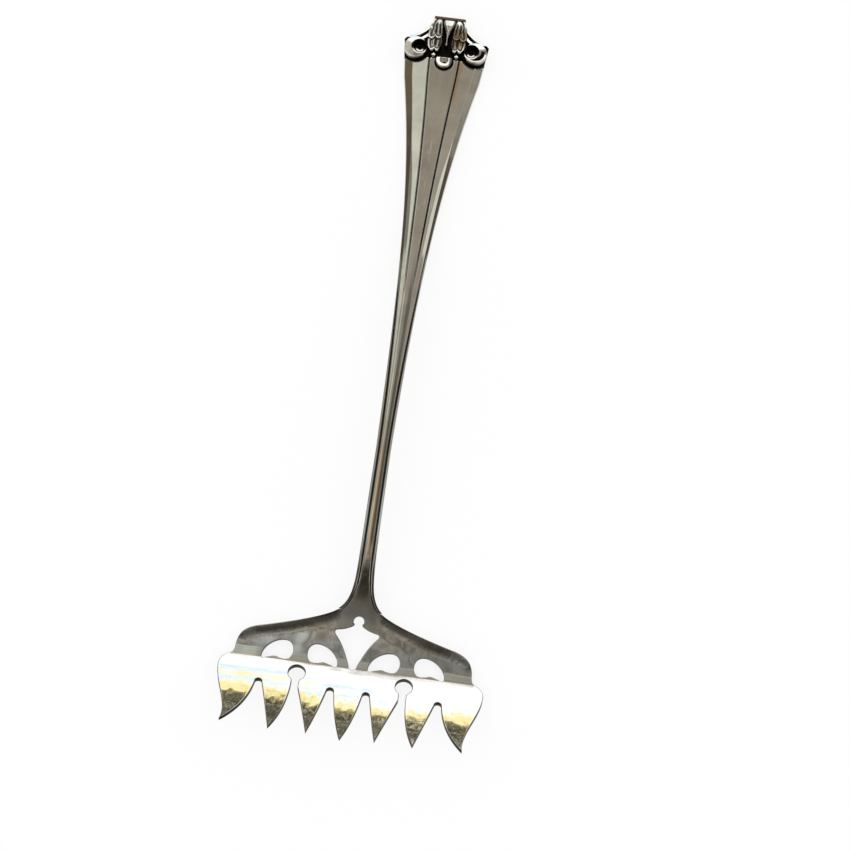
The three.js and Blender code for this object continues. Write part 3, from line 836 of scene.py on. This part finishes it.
class FORK_OT_handle(bpy.types.Operator):
    """Model the panelled handle with the ground of its capital"""

    bl_idname = "sardine_fork.handle"
    bl_label = "Handle"

    def execute(self, context):
        settings = context.scene.sardine_fork
        self.shape = Handle(settings)
        self.sizes = settings.handle
        self.capital = settings.capital
        self.volutes = [sum(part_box(name), Vector()) / 2 for name in ("volute_left", "volute_right")]
        self.volute_radius = (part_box("volute_right")[1].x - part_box("volute_right")[0].x) / 2
        self.drop = sum(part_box("drop"), Vector()) / 2
        self.drop_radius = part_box("drop")[1].x
        self.ear = Vector((1.4 * self.drop_radius, self.drop.y + 0.75 * self.drop_radius))
        rows = self.rows()
        columns = [self.columns(row) for row in rows]
        last_row = len(rows) - 1
        last_column = len(columns[0]) - 1
        bm = bmesh.new()
        bmesh.ops.create_grid(bm, x_segments=last_column, y_segments=last_row, size=1)
        tarnish_and_shade, toning_and_reflection = tint_and_shade_layers(bm)
        for vert in bm.verts:
            column = round((vert.co.x + 1) / 2 * last_column)
            row = round((vert.co.y + 1) / 2 * last_row)
            vert.co, vert[tarnish_and_shade], vert[toning_and_reflection] = self.place(rows[row], columns[row][column])
        bmesh.ops.remove_doubles(bm, verts=bm.verts[:], dist=1e-7)
        bmesh.ops.holes_fill(bm, edges=[edge for edge in bm.edges if edge.is_boundary], sides=0)
        finish_piece(context, bm, "panelled_handle", "handle", "silver_handle", crease=42)
        return {"FINISHED"}

    def rows(self):
        """Places along the handle, each as run, half width, and how squarely its edge is met"""
        shape = self.shape
        past_neck = shape.neck + 0.05 * MM
        on_arch = self.sizes.feather_run + 4 * MM
        near_foot = shape.foot - 1 * MM
        runs = (
            steps_between(0, shape.neck, 20)
            + [shape.neck]
            + steps_between(past_neck, on_arch, 22)
            + steps_between(on_arch, self.sizes.waist, 26)
            + steps_between(self.sizes.waist, near_foot, 120)
            + steps_between(near_foot, shape.corner, 56)
        )
        bell_steps = 44
        rows = [(run, shape.half_width(run), 1) for run in runs]
        return rows + [shape.bell(i / bell_steps) for i in range(bell_steps + 1)]

    def columns(self, row):
        """Places round the section, as shares of the half width and of the way from front to back"""
        run, half, _ = row
        groove = self.groove_place(run)
        width = 1.8 * self.sizes.groove_width / half
        stem = self.on_stem(run)
        quirk = self.quirk_place(run)
        quirk_width = 1.2 * self.sizes.quirk_width / half
        inner = max(groove - width, 0.1 * groove)
        outer = groove + width
        bevel = self.bevel_place(run)
        start = lerp(bevel - self.facet_width(run) / half - 0.02, quirk - quirk_width, stem)
        end = lerp(bevel + 0.04, quirk + quirk_width, stem)
        front = (
            steps_between(0, inner, 24)
            + steps_between(inner, outer, 14)
            + steps_between(outer, start, 12)
            + steps_between(start, end, 18)
            + steps_between(end, 0.97, 8)
            + [0.97, 0.978, 0.985, 0.992, 1]
        )
        side = [(1, 0.08), (1, 0.3), (0.97, 0.5), (0.9, 0.75), (0.84, 0.93), (0.78, 1), (0.4, 1), (0, 1)]
        right = [(u, 0) for u in front] + side
        left = [(-u, below) for u, below in reversed(right[1:])]
        return left + right

    def groove_place(self, run):
        """The grooves close in on the stem and spread again towards the fishtail's edges"""
        sizes = self.sizes
        to_grip = smooth(sizes.waist, 0.72 * self.shape.foot, run)
        place = lerp(sizes.stem_groove_place, sizes.groove_place, to_grip)
        return place + 0.36 * (1 - smooth(0, 2.5 * sizes.lap, run))

    def quirk_place(self, run):
        """The quirks leave the stem's outer edges below the grip and spread again on the fishtail"""
        sizes = self.sizes
        outermost = 0.88
        place = lerp(sizes.quirk_place, outermost, smooth(sizes.waist, 0.62 * self.shape.foot, run))
        return place + 0.2 * (1 - smooth(0, 1.5 * sizes.lap, run))

    def near_capital(self, run):
        """0 half way along the handle and 1 beside the capital"""
        return smooth(0.77 * self.shape.foot, 0.9 * self.shape.foot, run)

    def bevel_place(self, run):
        return lerp(self.sizes.bevel_place, self.sizes.top_bevel_place, self.near_capital(run))

    def facet_width(self, run):
        return self.sizes.facet_width * (1 - self.near_capital(run))

    def on_stem(self, run):
        """1 on the stem and 0 on the broad grip"""
        return 1 - smooth(0.54 * self.shape.foot, 0.68 * self.shape.foot, run)

    def place(self, row, column):
        """A point of the handle, with its darkness from oxide and painted shade, and its amber from toning
        and a painted glint
        """
        run, half, square = row
        u, below = column
        height, dark = self.surface(run, half, square, u)
        height = lerp(height, self.shape.back(run), below)
        dark *= 1 - below * smooth(self.shape.neck, 2 * self.shape.neck, run)
        return Vector((u * half, HANDLE_LOW.y + run, height)), dark, self.amber(run, u) * (1 - below)

    def amber(self, run, u):
        """Toning between the stem's grooves, and a painted warm glint beside the right groove under the
        capital
        """
        sizes = self.sizes
        foot = self.shape.foot
        groove = self.groove_place(run)
        stem = smooth(0.8 * sizes.feather_run, 1.2 * sizes.feather_run, run)
        stem *= 1 - smooth(0.7 * sizes.waist, 1.3 * sizes.waist, run)
        stem *= 1 - smooth(-0.05, 0.05, abs(u) - groove)
        # Painted warm glint beside the right groove, near the capital
        warm_glint = smooth(0, 0.02, u - groove) * (1 - smooth(0.05, 0.14, u - groove))
        warm_glint *= smooth(foot - 7 * MM, foot - 3 * MM, run)
        return max(0.85 * stem, 0.8 * warm_glint)

    def surface(self, run, half, square, u):
        """Height of the front and how dark it is, from oxide and painted shade"""
        capital = self.capital
        front = self.shape.front(run)
        depth = front - self.shape.back(run)
        place = Vector((u * half, HANDLE_LOW.y + run))
        panel = self.panel(place)
        drop, dark = self.panel_drop(run, half, depth, u)
        z = front - drop * panel - capital.ground * (1 - panel)
        dark = max(dark, 1 - smooth(0.93, 1, panel))
        lean = math.tan(capital.bead_slope)
        ear = 1 - (Vector((abs(place.x), place.y)) - self.ear).length / capital.ear
        if ear > 0:
            z += (capital.ground + capital.bead_height) * smooth(0, 0.3, ear) - (place.y - self.ear.y) * lean
            dark = 1 - smooth(0.15, 0.35, ear)
        if run > self.shape.corner:
            bead_end = 0.75
            scroll_end = 2.15
            gap = (half - abs(place.x)) * square / capital.bead_width
            bead = smooth(0, 0.18, gap + 0.05) * (1 - smooth(bead_end, 1, gap))
            bead_fall = (bead_end - min(gap, bead_end)) * capital.bead_width * lean
            scroll = smooth(1.35, 1.42, gap) * (1 - smooth(scroll_end, scroll_end + 0.07, gap))
            scroll_fall = max(scroll_end - gap, 0) * capital.bead_width * lean
            z += (capital.ground + capital.bead_height - bead_fall) * bead
            z += (capital.ground + 0.6 * capital.bead_height - scroll_fall) * scroll
            dark *= (1 - bead) * (1 - scroll)
        return z, dark

    def panel(self, place):
        """1 on the panels and 0 on the sunk ground of the capital"""
        free = 1 - smooth(self.drop.y + 0.6 * MM, self.drop.y + 1.1 * MM, place.y)
        for volute in self.volutes:
            away = (place - volute.xy).length - self.volute_radius
            free = min(free, smooth(0.15 * MM, 0.6 * MM, away))
        away = (place - self.drop.xy).length - self.drop_radius
        return min(free, smooth(0, 0.35 * MM, away))

    def trough(self, away, half_width):
        """1 in the middle of a groove and 0 away from it"""
        return math.exp(-(away / (0.75 * half_width)) ** 2)

    def grip_fall(self, run, half, side):
        """Fall of the grip's side panels, facets and bevels, as a share of the half width"""
        sizes = self.sizes
        bevel = self.bevel_place(run)
        facet = bevel - self.facet_width(run) / half
        bevel_slope = lerp(sizes.bevel_slope, sizes.top_bevel_slope, self.near_capital(run))
        return (
            math.tan(sizes.panel_slope) * max(min(side, facet) - self.groove_place(run), 0)
            + math.tan(sizes.facet_slope) * max(min(side, bevel) - facet, 0)
            + math.tan(bevel_slope) * max(side - bevel, 0)
        )

    def stem_fall(self, run, side):
        """Fall of the stem's side panels and of its rounded outer edges, as a share of the half width"""
        panel = max(min(side, self.quirk_place(run)) - self.groove_place(run), 0)
        return math.tan(self.sizes.panel_slope) * panel + 3 * max(side - 0.85, 0) ** 2

    def panel_drop(self, run, half, depth, u):
        """How far the section lies below the front at a share u of the half width, and how dark it is"""
        sizes = self.sizes
        foot = self.shape.foot
        side = abs(u)
        stem = self.on_stem(run)
        on_grip = 1 - 0.9 * stem
        groove = self.trough(side - self.groove_place(run), sizes.groove_width / half)
        quirk = stem * self.trough(side - self.quirk_place(run), sizes.quirk_width / half)
        drop = lerp(self.grip_fall(run, half, side), self.stem_fall(run, side), stem) * half
        drop += sizes.groove_depth * on_grip * groove + sizes.quirk_depth * quirk
        drop += min(0.25 * MM, 0.12 * depth) * smooth(0.975, 1.005, side)
        # Painted shade on the right half of the stem's middle panel
        panel_shade = smooth(0, 0.12, u) * (1 - smooth(0.36, 0.46, u)) * smooth(0.09 * foot, 0.12 * foot, run)
        fishtail_edge = smooth(0.86, 0.9, side) * (1 - smooth(sizes.lap, 3 * sizes.lap, run))
        # Oxide lies in both grooves; painted shade spreads it further from the right groove than from the
        # left one
        narrow = 1 if u < 0 else 0.4
        # Oxide in the grooves and quirks; painted shade along the outer sides, on the stem's middle panel and
        # along the fishtail's edges; darker round the fishtail's end
        dark = max(
            0.95 * on_grip * groove ** narrow,
            quirk ** 0.6,
            0.35 * smooth(0.975, 0.985, side),
            0.7 * stem * panel_shade,
            0.9 * fishtail_edge,
            0.6 * (1 - smooth(0, 0.9 * sizes.lap, run)),
        )
        return drop * min(depth / sizes.fishtail_height, 1), dark


class FORK_OT_volutes(bpy.types.Operator):
    """Model the two scrolls of the capital"""

    bl_idname = "sardine_fork.volutes"
    bl_label = "Volutes"

    def execute(self, context):
        capital = context.scene.sardine_fork.capital
        for hand, node in ((-1, "volute_left"), (1, "volute_right")):
            height = functools.partial(self.height, hand)
            bm = round_relief(capital, node, height, rings=56, steps=120)
            finish_piece(context, bm, node + "_scroll", node, "silver_ornament", crease=60)
        return {"FINISHED"}

    def height(self, hand, right, up):
        """Height and darkness at a place in radii, with the hollow towards the capital's middle"""
        out = hand * right
        hollow = Vector((out + 0.36, up - 0.02))
        hollow_radius = 0.7
        away = hollow.length / hollow_radius
        reach = math.hypot(out, up)
        edge = rounded(reach, 0.05)
        below = smooth(0.15, 0.7, -hollow.y / max(hollow.length, 1e-6))
        lean = 0.28 * up
        if away >= 1:
            # The right scroll has painted shade below, inside a bright rim
            rim = smooth(0.82, 0.84, reach) * smooth(0.4, -0.1, up) if hand > 0 else 0
            band = lerp(1 - 0.28 * max(reach - 0.45, 0), 0.72 - 1.35 * lean, rim)
            shade_below = (1 - rim) * smooth(0.5, 0.1, up) * smooth(0.4, 0.55, reach) if hand > 0 else 0
            return (0.6 + 0.4 * edge) * band, max(0.6 * (1 - edge), shade_below)
        lip = smooth(0.72, 0.76, away)
        ring = smooth(0.26, 0.3, away) * (1 - smooth(0.54, 0.58, away))
        part = 0.12 + 0.5 * lip + 0.2 * ring - lean
        # Oxide darkens the hollow's channels; painted shade darkens the upper parts of its lip and ring, so
        # that only their lower parts stay bright
        return max(part, 0.05) * (0.5 + 0.5 * edge), 1 - 0.97 * below * max(lip, ring)


class FORK_OT_leaves(bpy.types.Operator):
    """Model the two side leaves and the leaf between them"""

    bl_idname = "sardine_fork.leaves"
    bl_label = "Leaves"

    def execute(self, context):
        self.capital = context.scene.sardine_fork.capital
        self.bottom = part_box("leaf_right")[0].y
        self.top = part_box("abacus")[0].y
        self.half = self.capital.top_width / 2
        foot = sunk_foot(self.capital)
        for hand, node in ((-1, "leaf_left"), (1, "leaf_right")):
            bm = relief(functools.partial(self.side_leaf, hand), foot, columns=56, rows=110)
            finish_piece(context, bm, node + "_acanthus", node, "silver_ornament", crease=65)
        bm = relief(self.middle_leaf, foot, columns=32, rows=70)
        finish_piece(context, bm, "flame", "centre_leaf", "silver_ornament", crease=65)
        return {"FINISHED"}

    def top_fall(self, y):
        """The tops of the leaves fall towards the bar above them"""
        return max(y - self.top + self.capital.leaf_top, 0) * math.tan(self.capital.leaf_slope)

    def side_leaf(self, hand, u, v):
        """A point of a side leaf: u from its inner to its outer edge, v from its lower tips to its top"""
        capital = self.capital
        roll = capital.leaf_roll
        inner = self.half * (lerp(0.25, 0.42, v) + 0.12 * (1 - smooth(0, 0.25, v)))
        swell = math.sin(math.pi * (0.95 * v + 0.1))
        notch = (1 - abs(math.sin(3 * math.pi * v))) ** 2
        outer = self.half * (1.07 + 0.17 * swell - 0.07 * notch)
        scallop = capital.scallop * max(1 - abs(math.sin(2 * math.pi * u)), 0) ** 1.5
        x = lerp(inner, outer, u)
        tips = self.bottom + scallop
        y = lerp(tips, self.top, v)
        tier = lerp(self.bottom, self.top, 0.4) + 1.2 * scallop - 0.5 * MM * u
        above = y > tier
        edge = max(min(y - (tier if above else tips), outer - x), 0)
        rolled = max(1 - edge / roll, 0)
        valley = max(1 - abs(edge - 1.35 * roll) / (0.5 * roll), 0)
        # Under the upper tier the leaf sinks into a valley with painted shadow
        if not above:
            valley = max(valley, 1 - (tier - y) / (0.8 * roll))
        from_inner = u * (outer - inner)
        round_off = math.sqrt(min(edge / (0.16 * roll), 1)) * math.sqrt(min(from_inner / (0.3 * MM), 1))
        flute = 0.5 - 0.5 * math.cos(2 * math.pi * (3.2 * u + 0.12 * math.sin(6 * v)))
        flute = max(flute * smooth(roll, 2.5 * roll, edge) * (1 - smooth(0.8, 0.92, v)), 0)
        z = capital.leaf_height * (1 if above else 0.85) - self.top_fall(y)
        z -= capital.flute * max(flute, valley)
        z -= (y - self.bottom) * math.tan(capital.leaf_lean)
        z += rolled * roll * math.tan(capital.leaf_slope)
        z *= lerp(0.6 if above and outer - x > edge else 0.3, 1, round_off)
        # Painted warm reflection and painted shade on the right leaf alone
        amber = 0.6 * smooth(0.1, 0.3, v) * (1 - smooth(0.72, 0.82, v)) if hand > 0 else 0
        dark = max(flute, valley, 1 - round_off, amber)
        return Vector((hand * x, y, capital.depth + z)), dark, amber

    def middle_leaf(self, u, v):
        """The leaf between them, broad at the top and run to a point"""
        capital = self.capital
        low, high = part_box("centre_leaf")
        y = lerp(low.y, self.top, v)
        half = self.half * (0.1 + 0.33 * smooth(0.2, 1.1, v))
        side = abs(2 * u - 1)
        crown = 1 - side ** lerp(2, 6, smooth(0.5, 0.9, v))
        tip = math.sqrt(min(v / 0.06, 1))
        lean = (y - low.y) * math.tan(capital.leaf_lean)
        z = high.z - capital.depth - self.top_fall(y) - lean
        z *= (0.25 + 0.75 * crown) * lerp(0.4, 1, tip)
        dark = 0.9 * (1 - smooth(0, 0.5, crown)) * (1 - smooth(0.7, 0.85, v))
        return Vector(((2 * u - 1) * half, y, capital.depth + z)), dark, 0


class FORK_OT_abacus(bpy.types.Operator):
    """Model the bar across the capital's top"""

    bl_idname = "sardine_fork.abacus"
    bl_label = "Abacus"

    def execute(self, context):
        capital = context.scene.sardine_fork.capital
        low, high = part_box("abacus")

        def place(u, v):
            side = 2 * v - 1
            crown = (1 - abs(side) ** 3) * rounded(max(u, 1 - u), 0.03)
            z = lerp(capital.depth, high.z, 0.15 + 0.85 * crown)
            point = Vector((lerp(low.x, high.x, u), lerp(low.y, high.y, v), z))
            return point, lerp(0.9, 0.65, crown), 0.8

        bm = relief(place, sunk_foot(capital), columns=60, rows=16)
        finish_piece(context, bm, "abacus_bar", "abacus", "silver_ornament", crease=60)
        return {"FINISHED"}


class FORK_OT_drop(bpy.types.Operator):
    """Model the cupped drop under the leaves"""

    bl_idname = "sardine_fork.drop"
    bl_label = "Drop"

    def execute(self, context):
        capital = context.scene.sardine_fork.capital
        bm = round_relief(capital, "drop", self.height, rings=40, steps=96)
        finish_piece(context, bm, "drop_cup", "drop", "silver_ornament", crease=60)
        return {"FINISHED"}

    def height(self, across, up):
        """Height and darkness at a place in radii: a rolled rim round a level floor, open at the top"""
        reach = math.hypot(across, up)
        lift = 1 - 0.75 * smooth(0.3, 0.75, up)
        edge = rounded(reach, 0.06)
        ring = smooth(0.48, 0.54, reach)
        pit = max(1 - math.hypot(across - 0.1, 1.8 * (up + 0.4)) / 0.3, 0)
        part = (0.4 + 0.6 * edge) * lerp(0.66, 0.74 - 0.2 * up, ring) * lift
        part -= 0.3 * smooth(0, 0.6, pit)
        wall = max(1 - abs(reach - 0.49) / 0.07, 0)
        shade = 0.8 * ring * smooth(0.55, 0.8, across)
        # Painted shadow over the open top and painted shade on the ring's right side; oxide on the ring's
        # inner wall and in the pit
        return part, min(max(1.5 * (1 - lift), wall, 1.5 * pit, shade, 0.7 * (1 - edge)), 1)


# Stage

class Tent:
    """Colours of the reflection tent, by the direction in which its inside is seen"""

    def __init__(self, nodes):
        self.nodes = nodes
        place = nodes.add("TexCoord").outputs["Object"]
        self.toward = nodes.add("VectorMath", {0: place}, operation="NORMALIZE").outputs[0]
        self.across, ahead, self.up = nodes.add("SeparateXYZ", {0: self.toward}).outputs
        self.streaks = nodes.noise(self.stretched(0.3), 60, detail=1)
        over = nodes.math("DIVIDE", nodes.math("ARCTAN2", self.up, ahead), math.pi)
        broad = nodes.noise(self.toward, 24, detail=1)
        for waves, strength in ((broad, 0.05), (self.streaks, 0.03)):
            over = nodes.math("MULTIPLY_ADD", nodes.math("SUBTRACT", waves, 0.5), strength, over)
        leaning = self.by_side(
            0.5, (-0.22, 0), (-0.17, 1), (-0.115, 1), (-0.06, 0), (-0.04, 0), (0, 0.6), (0.1, 0.6), (0.15, 0),
        )
        self.over = nodes.math("MULTIPLY_ADD", leaning, -0.025, over)

    def stretched(self, scale):
        """Directions for a noise that is drawn out or squeezed from side to side"""
        return self.nodes.add("Mapping", {"Vector": self.toward, "Scale": (scale, 1, 1)}).outputs[0]

    def by_angle(self, *stops):
        """A ramp over the angle from the far horizon over the fork to behind the camera, in degrees"""
        return self.nodes.ramp(self.over, [(degrees / 180, tint) for degrees, tint in stops])

    def by_side(self, reach, *stops):
        """A ramp from left to right, over sideways parts of the direction from -reach to reach"""
        part = self.nodes.math("MULTIPLY_ADD", self.across, 0.5 / reach, 0.5)
        return self.nodes.ramp(part, [((x + reach) / (2 * reach), tint) for x, tint in stops])

    def beside(self):
        """1 at both sides and 0 between them"""
        return self.nodes.ramp(self.nodes.math("ABSOLUTE", self.across), [(0.42, 0), (0.55, 1)])

    def times(self, first, *others):
        for other in others:
            first = self.nodes.math("MULTIPLY", first, other)
        return first

    def window(self):
        """A white window beyond the handle, blue at one pane and yellow below, over dark furniture"""
        nodes = self.nodes
        window = self.by_angle(
            (0, (0.75, 0.7, 0.6)),
            (7, (0.5, 0.45, 0.35)),
            (10, (0.09, 0.082, 0.06)),
            (20, (0.06, 0.056, 0.038)),
            (28.5, (0.03, 0.03, 0.018)),
            (30, (0.32, 0.27, 0.1)),
            (31.3, (1.0, 0.88, 0.42)),
            (33.3, (1.0, 0.8, 0.4)),
            (34.8, (1.0, 0.93, 0.66)),
            (36.3, (1.0, 1.0, 1.0)),
            (47, (1.0, 1.0, 1.0)),
            (50, (0.4, 0.4, 0.39)),
        )
        specks = nodes.noise(self.stretched(5), 30, roughness=0.6)
        speckle = nodes.ramp(specks, [(0.55, 0), (0.62, 0.85)])
        speckle = self.times(speckle, self.by_angle((12, 0.4), (24, 1), (31, 0.9), (33, 0)))
        window = nodes.mix(speckle, window, (0.85, 0.8, 0.6, 1))
        sill = self.times(self.by_side(0.5, (-0.04, 0), (-0.01, 0.8)), self.by_angle((12, 1), (18, 0)))
        window = nodes.mix(sill, window, (0.75, 0.72, 0.66, 1))
        pane = self.times(
            self.by_angle((36, 0), (37, 1), (40, 1), (42, 0)),
            self.by_side(0.5, (-0.09, 1), (-0.04, 0.3)),
            nodes.ramp(self.streaks, [(0.4, 0.1), (0.56, 1)]),
        )
        window = nodes.mix(pane, window, (0.5, 0.76, 1.0, 1))
        low = self.by_angle((16, (0.36, 0.34, 0.3)), (24, (0.07, 0.055, 0.04)))
        return nodes.mix(self.beside(), window, low)

    def ceiling(self):
        """Cards over the fork: grey in the middle, pale to the left and right, and dark round the camera"""
        nodes = self.nodes
        cards = self.by_side(
            1,
            (-1, (0.25, 0.22, 0.16)),
            (-0.62, (0.24, 0.2, 0.13)),
            (-0.57, (0.34, 0.34, 0.28)),
            (-0.47, (0.34, 0.34, 0.28)),
            (-0.43, (0.85, 0.87, 0.74)),
            (-0.15, (0.95, 0.98, 0.84)),
            (-0.11, (0.5, 0.455, 0.365)),
            (0.31, (0.5, 0.455, 0.365)),
            (0.34, (1.0, 1.0, 0.9)),
            (0.54, (1.0, 1.0, 0.9)),
            (0.58, (0.42, 0.39, 0.33)),
            (0.64, (0.38, 0.35, 0.3)),
            (0.7, (0.33, 0.3, 0.25)),
            (1, (0.33, 0.3, 0.25)),
        )
        behind = self.by_angle((86, 0), (94, 1))
        wall = self.by_side(0.5, (-0.12, (0.85, 0.79, 0.68)), (-0.05, (0.5, 0.46, 0.38)))
        cards = nodes.mix(behind, cards, wall)
        level = self.by_angle(
            (54, 0.62), (75, 0.52), (76, 0.5), (77.5, (0.64, 0.72, 0.8)), (88, (0.66, 0.74, 0.84)),
            (92, 0.52), (96, 0.5), (104, 0.3), (112, 0.1), (119, 0.1), (128, 0.8), (150, 1), (180, 0.9),
        )
        large = nodes.noise(self.toward, 9, detail=4, roughness=0.6)
        small = nodes.noise(self.toward, 40, detail=3, roughness=0.6)
        clutter = nodes.ramp(large, [(0.32, 0.6), (0.68, 1)])
        mottle = nodes.ramp(small, [(0.4, 0.3), (0.58, 1)])
        clutter = nodes.mix(behind, clutter, mottle)
        shown = nodes.mix(1.0, nodes.mix(1.0, cards, level, "MULTIPLY"), clutter, "MULTIPLY")
        behind_sides = self.times(self.beside(), self.by_angle((95, 0), (104, 1)))
        return nodes.mix(behind_sides, shown, (0.5, 0.48, 0.44, 1))

    def light(self):
        """The window beyond the handle, the ceiling above and a pale band along the horizon"""
        light = self.nodes.mix(self.by_angle((48, 0), (53, 1)), self.window(), self.ceiling())
        horizon = self.nodes.ramp(self.up, [(0.06, 1), (0.12, 0)])
        return self.nodes.mix(horizon, light, (0.8, 0.78, 0.74, 1))


class FORK_OT_stage(bpy.types.Operator):
    """Make the floor, the light, the reflection tent and the camera"""

    bl_idname = "sardine_fork.stage"
    bl_label = "Stage"

    def execute(self, context):
        scene = context.scene
        stage = scene.sardine_fork.stage
        scene.view_settings.view_transform = "Standard"
        self.light(scene)
        self.floor(scene, stage)
        self.tent(scene)
        self.camera(scene, stage)
        return {"FINISHED"}

    def show(self, scene, name, bm, material):
        mesh = bpy.data.meshes.new(name)
        bm.to_mesh(mesh)
        bm.free()
        mesh.materials.append(material)
        thing = bpy.data.objects.new(name, mesh)
        scene.collection.objects.link(thing)
        return thing

    def light(self, scene):
        """An even white sky, so that colours render as they are written"""
        world = bpy.data.worlds.new("white_sky")
        scene.world = world
        nodes = Nodes(world)
        sky = nodes.add("Background", {"Color": (1, 1, 1, 1), "Strength": 1.0})
        nodes.add("OutputWorld", {"Surface": sky.outputs[0]})

    def floor(self, scene, stage):
        material = bpy.data.materials.new("pale_floor")
        nodes = Nodes(material)
        paint = nodes.add("BsdfDiffuse", {"Color": (*stage.floor, 1)}).outputs[0]
        white = nodes.add("Emission", {"Color": (1, 1, 1, 1), "Strength": 1.0}).outputs[0]
        path = nodes.add("LightPath").outputs
        seen = nodes.math("MAXIMUM", path["Is Camera Ray"], path["Is Glossy Ray"])
        seen = nodes.math("MAXIMUM", seen, path["Is Transmission Ray"])
        glow = nodes.math("MULTIPLY", seen, stage.glow)
        shown = nodes.add("MixShader", {0: glow, 1: paint, 2: white})
        nodes.add("OutputMaterial", {"Surface": shown.outputs[0]})
        bm = bmesh.new()
        bmesh.ops.create_circle(bm, cap_ends=True, segments=64, radius=4)
        bmesh.ops.translate(bm, verts=bm.verts[:], vec=(0, 0, -0.05 * MM))
        return self.show(scene, "floor", bm, material)

    def tent(self, scene):
        """What stands round the fork, seen only in its reflections"""
        material = bpy.data.materials.new("tent_cards")
        nodes = Nodes(material)
        glow = nodes.add("Emission", {"Color": Tent(nodes).light(), "Strength": 1.2})
        nodes.add("OutputMaterial", {"Surface": glow.outputs[0]})
        material.cycles.emission_sampling = "NONE"
        bm = bmesh.new()
        bmesh.ops.create_uvsphere(bm, u_segments=64, v_segments=32, radius=3)
        tent = self.show(scene, "reflection_tent", bm, material)
        for ray in ("camera", "diffuse", "transmission", "shadow"):
            setattr(tent, "visible_" + ray, False)
        return tent

    def camera(self, scene, stage):
        back = Vector((
            math.sin(stage.azimuth) * math.cos(stage.elevation),
            -math.cos(stage.azimuth) * math.cos(stage.elevation),
            math.sin(stage.elevation),
        ))
        lens = bpy.data.cameras.new("camera")
        lens.lens = stage.lens
        lens.clip_start = 0.01
        camera = bpy.data.objects.new("camera", lens)
        camera.location = Vector(stage.target) + back * stage.distance
        camera.rotation_euler = (-back).to_track_quat("-Z", "Y").to_euler()
        scene.collection.objects.link(camera)
        scene.camera = camera


class FORK_PT_panel(bpy.types.Panel):
    """Lists the fork's pieces"""

    bl_idname = "FORK_PT_panel"
    bl_label = "Sardine fork"
    bl_space_type = "VIEW_3D"
    bl_region_type = "UI"
    bl_category = "Fork"

    def draw(self, context):
        for operator in OPERATORS:
            self.layout.operator(operator.bl_idname)


OPERATORS = (
    FORK_OT_head, FORK_OT_handle, FORK_OT_volutes, FORK_OT_leaves,
    FORK_OT_abacus, FORK_OT_drop, FORK_OT_stage,
)
GROUPS = (ForkHeadSizes, ForkHandleSizes, ForkCapitalSizes, ForkFinish, ForkStage, ForkSettings)


def register():
    for item in (*GROUPS, *OPERATORS, FORK_PT_panel):
        bpy.utils.register_class(item)
    bpy.types.Scene.sardine_fork = PointerProperty(type=ForkSettings)


def unregister():
    del bpy.types.Scene.sardine_fork
    for item in reversed((*GROUPS, *OPERATORS, FORK_PT_panel)):
        bpy.utils.unregister_class(item)


def main():
    register()
    bpy.ops.sardine_fork.head()
    bpy.ops.sardine_fork.handle()
    bpy.ops.sardine_fork.volutes()
    bpy.ops.sardine_fork.leaves()
    bpy.ops.sardine_fork.abacus()
    bpy.ops.sardine_fork.drop()
    bpy.ops.sardine_fork.stage()


if __name__ == "__main__":
    main()
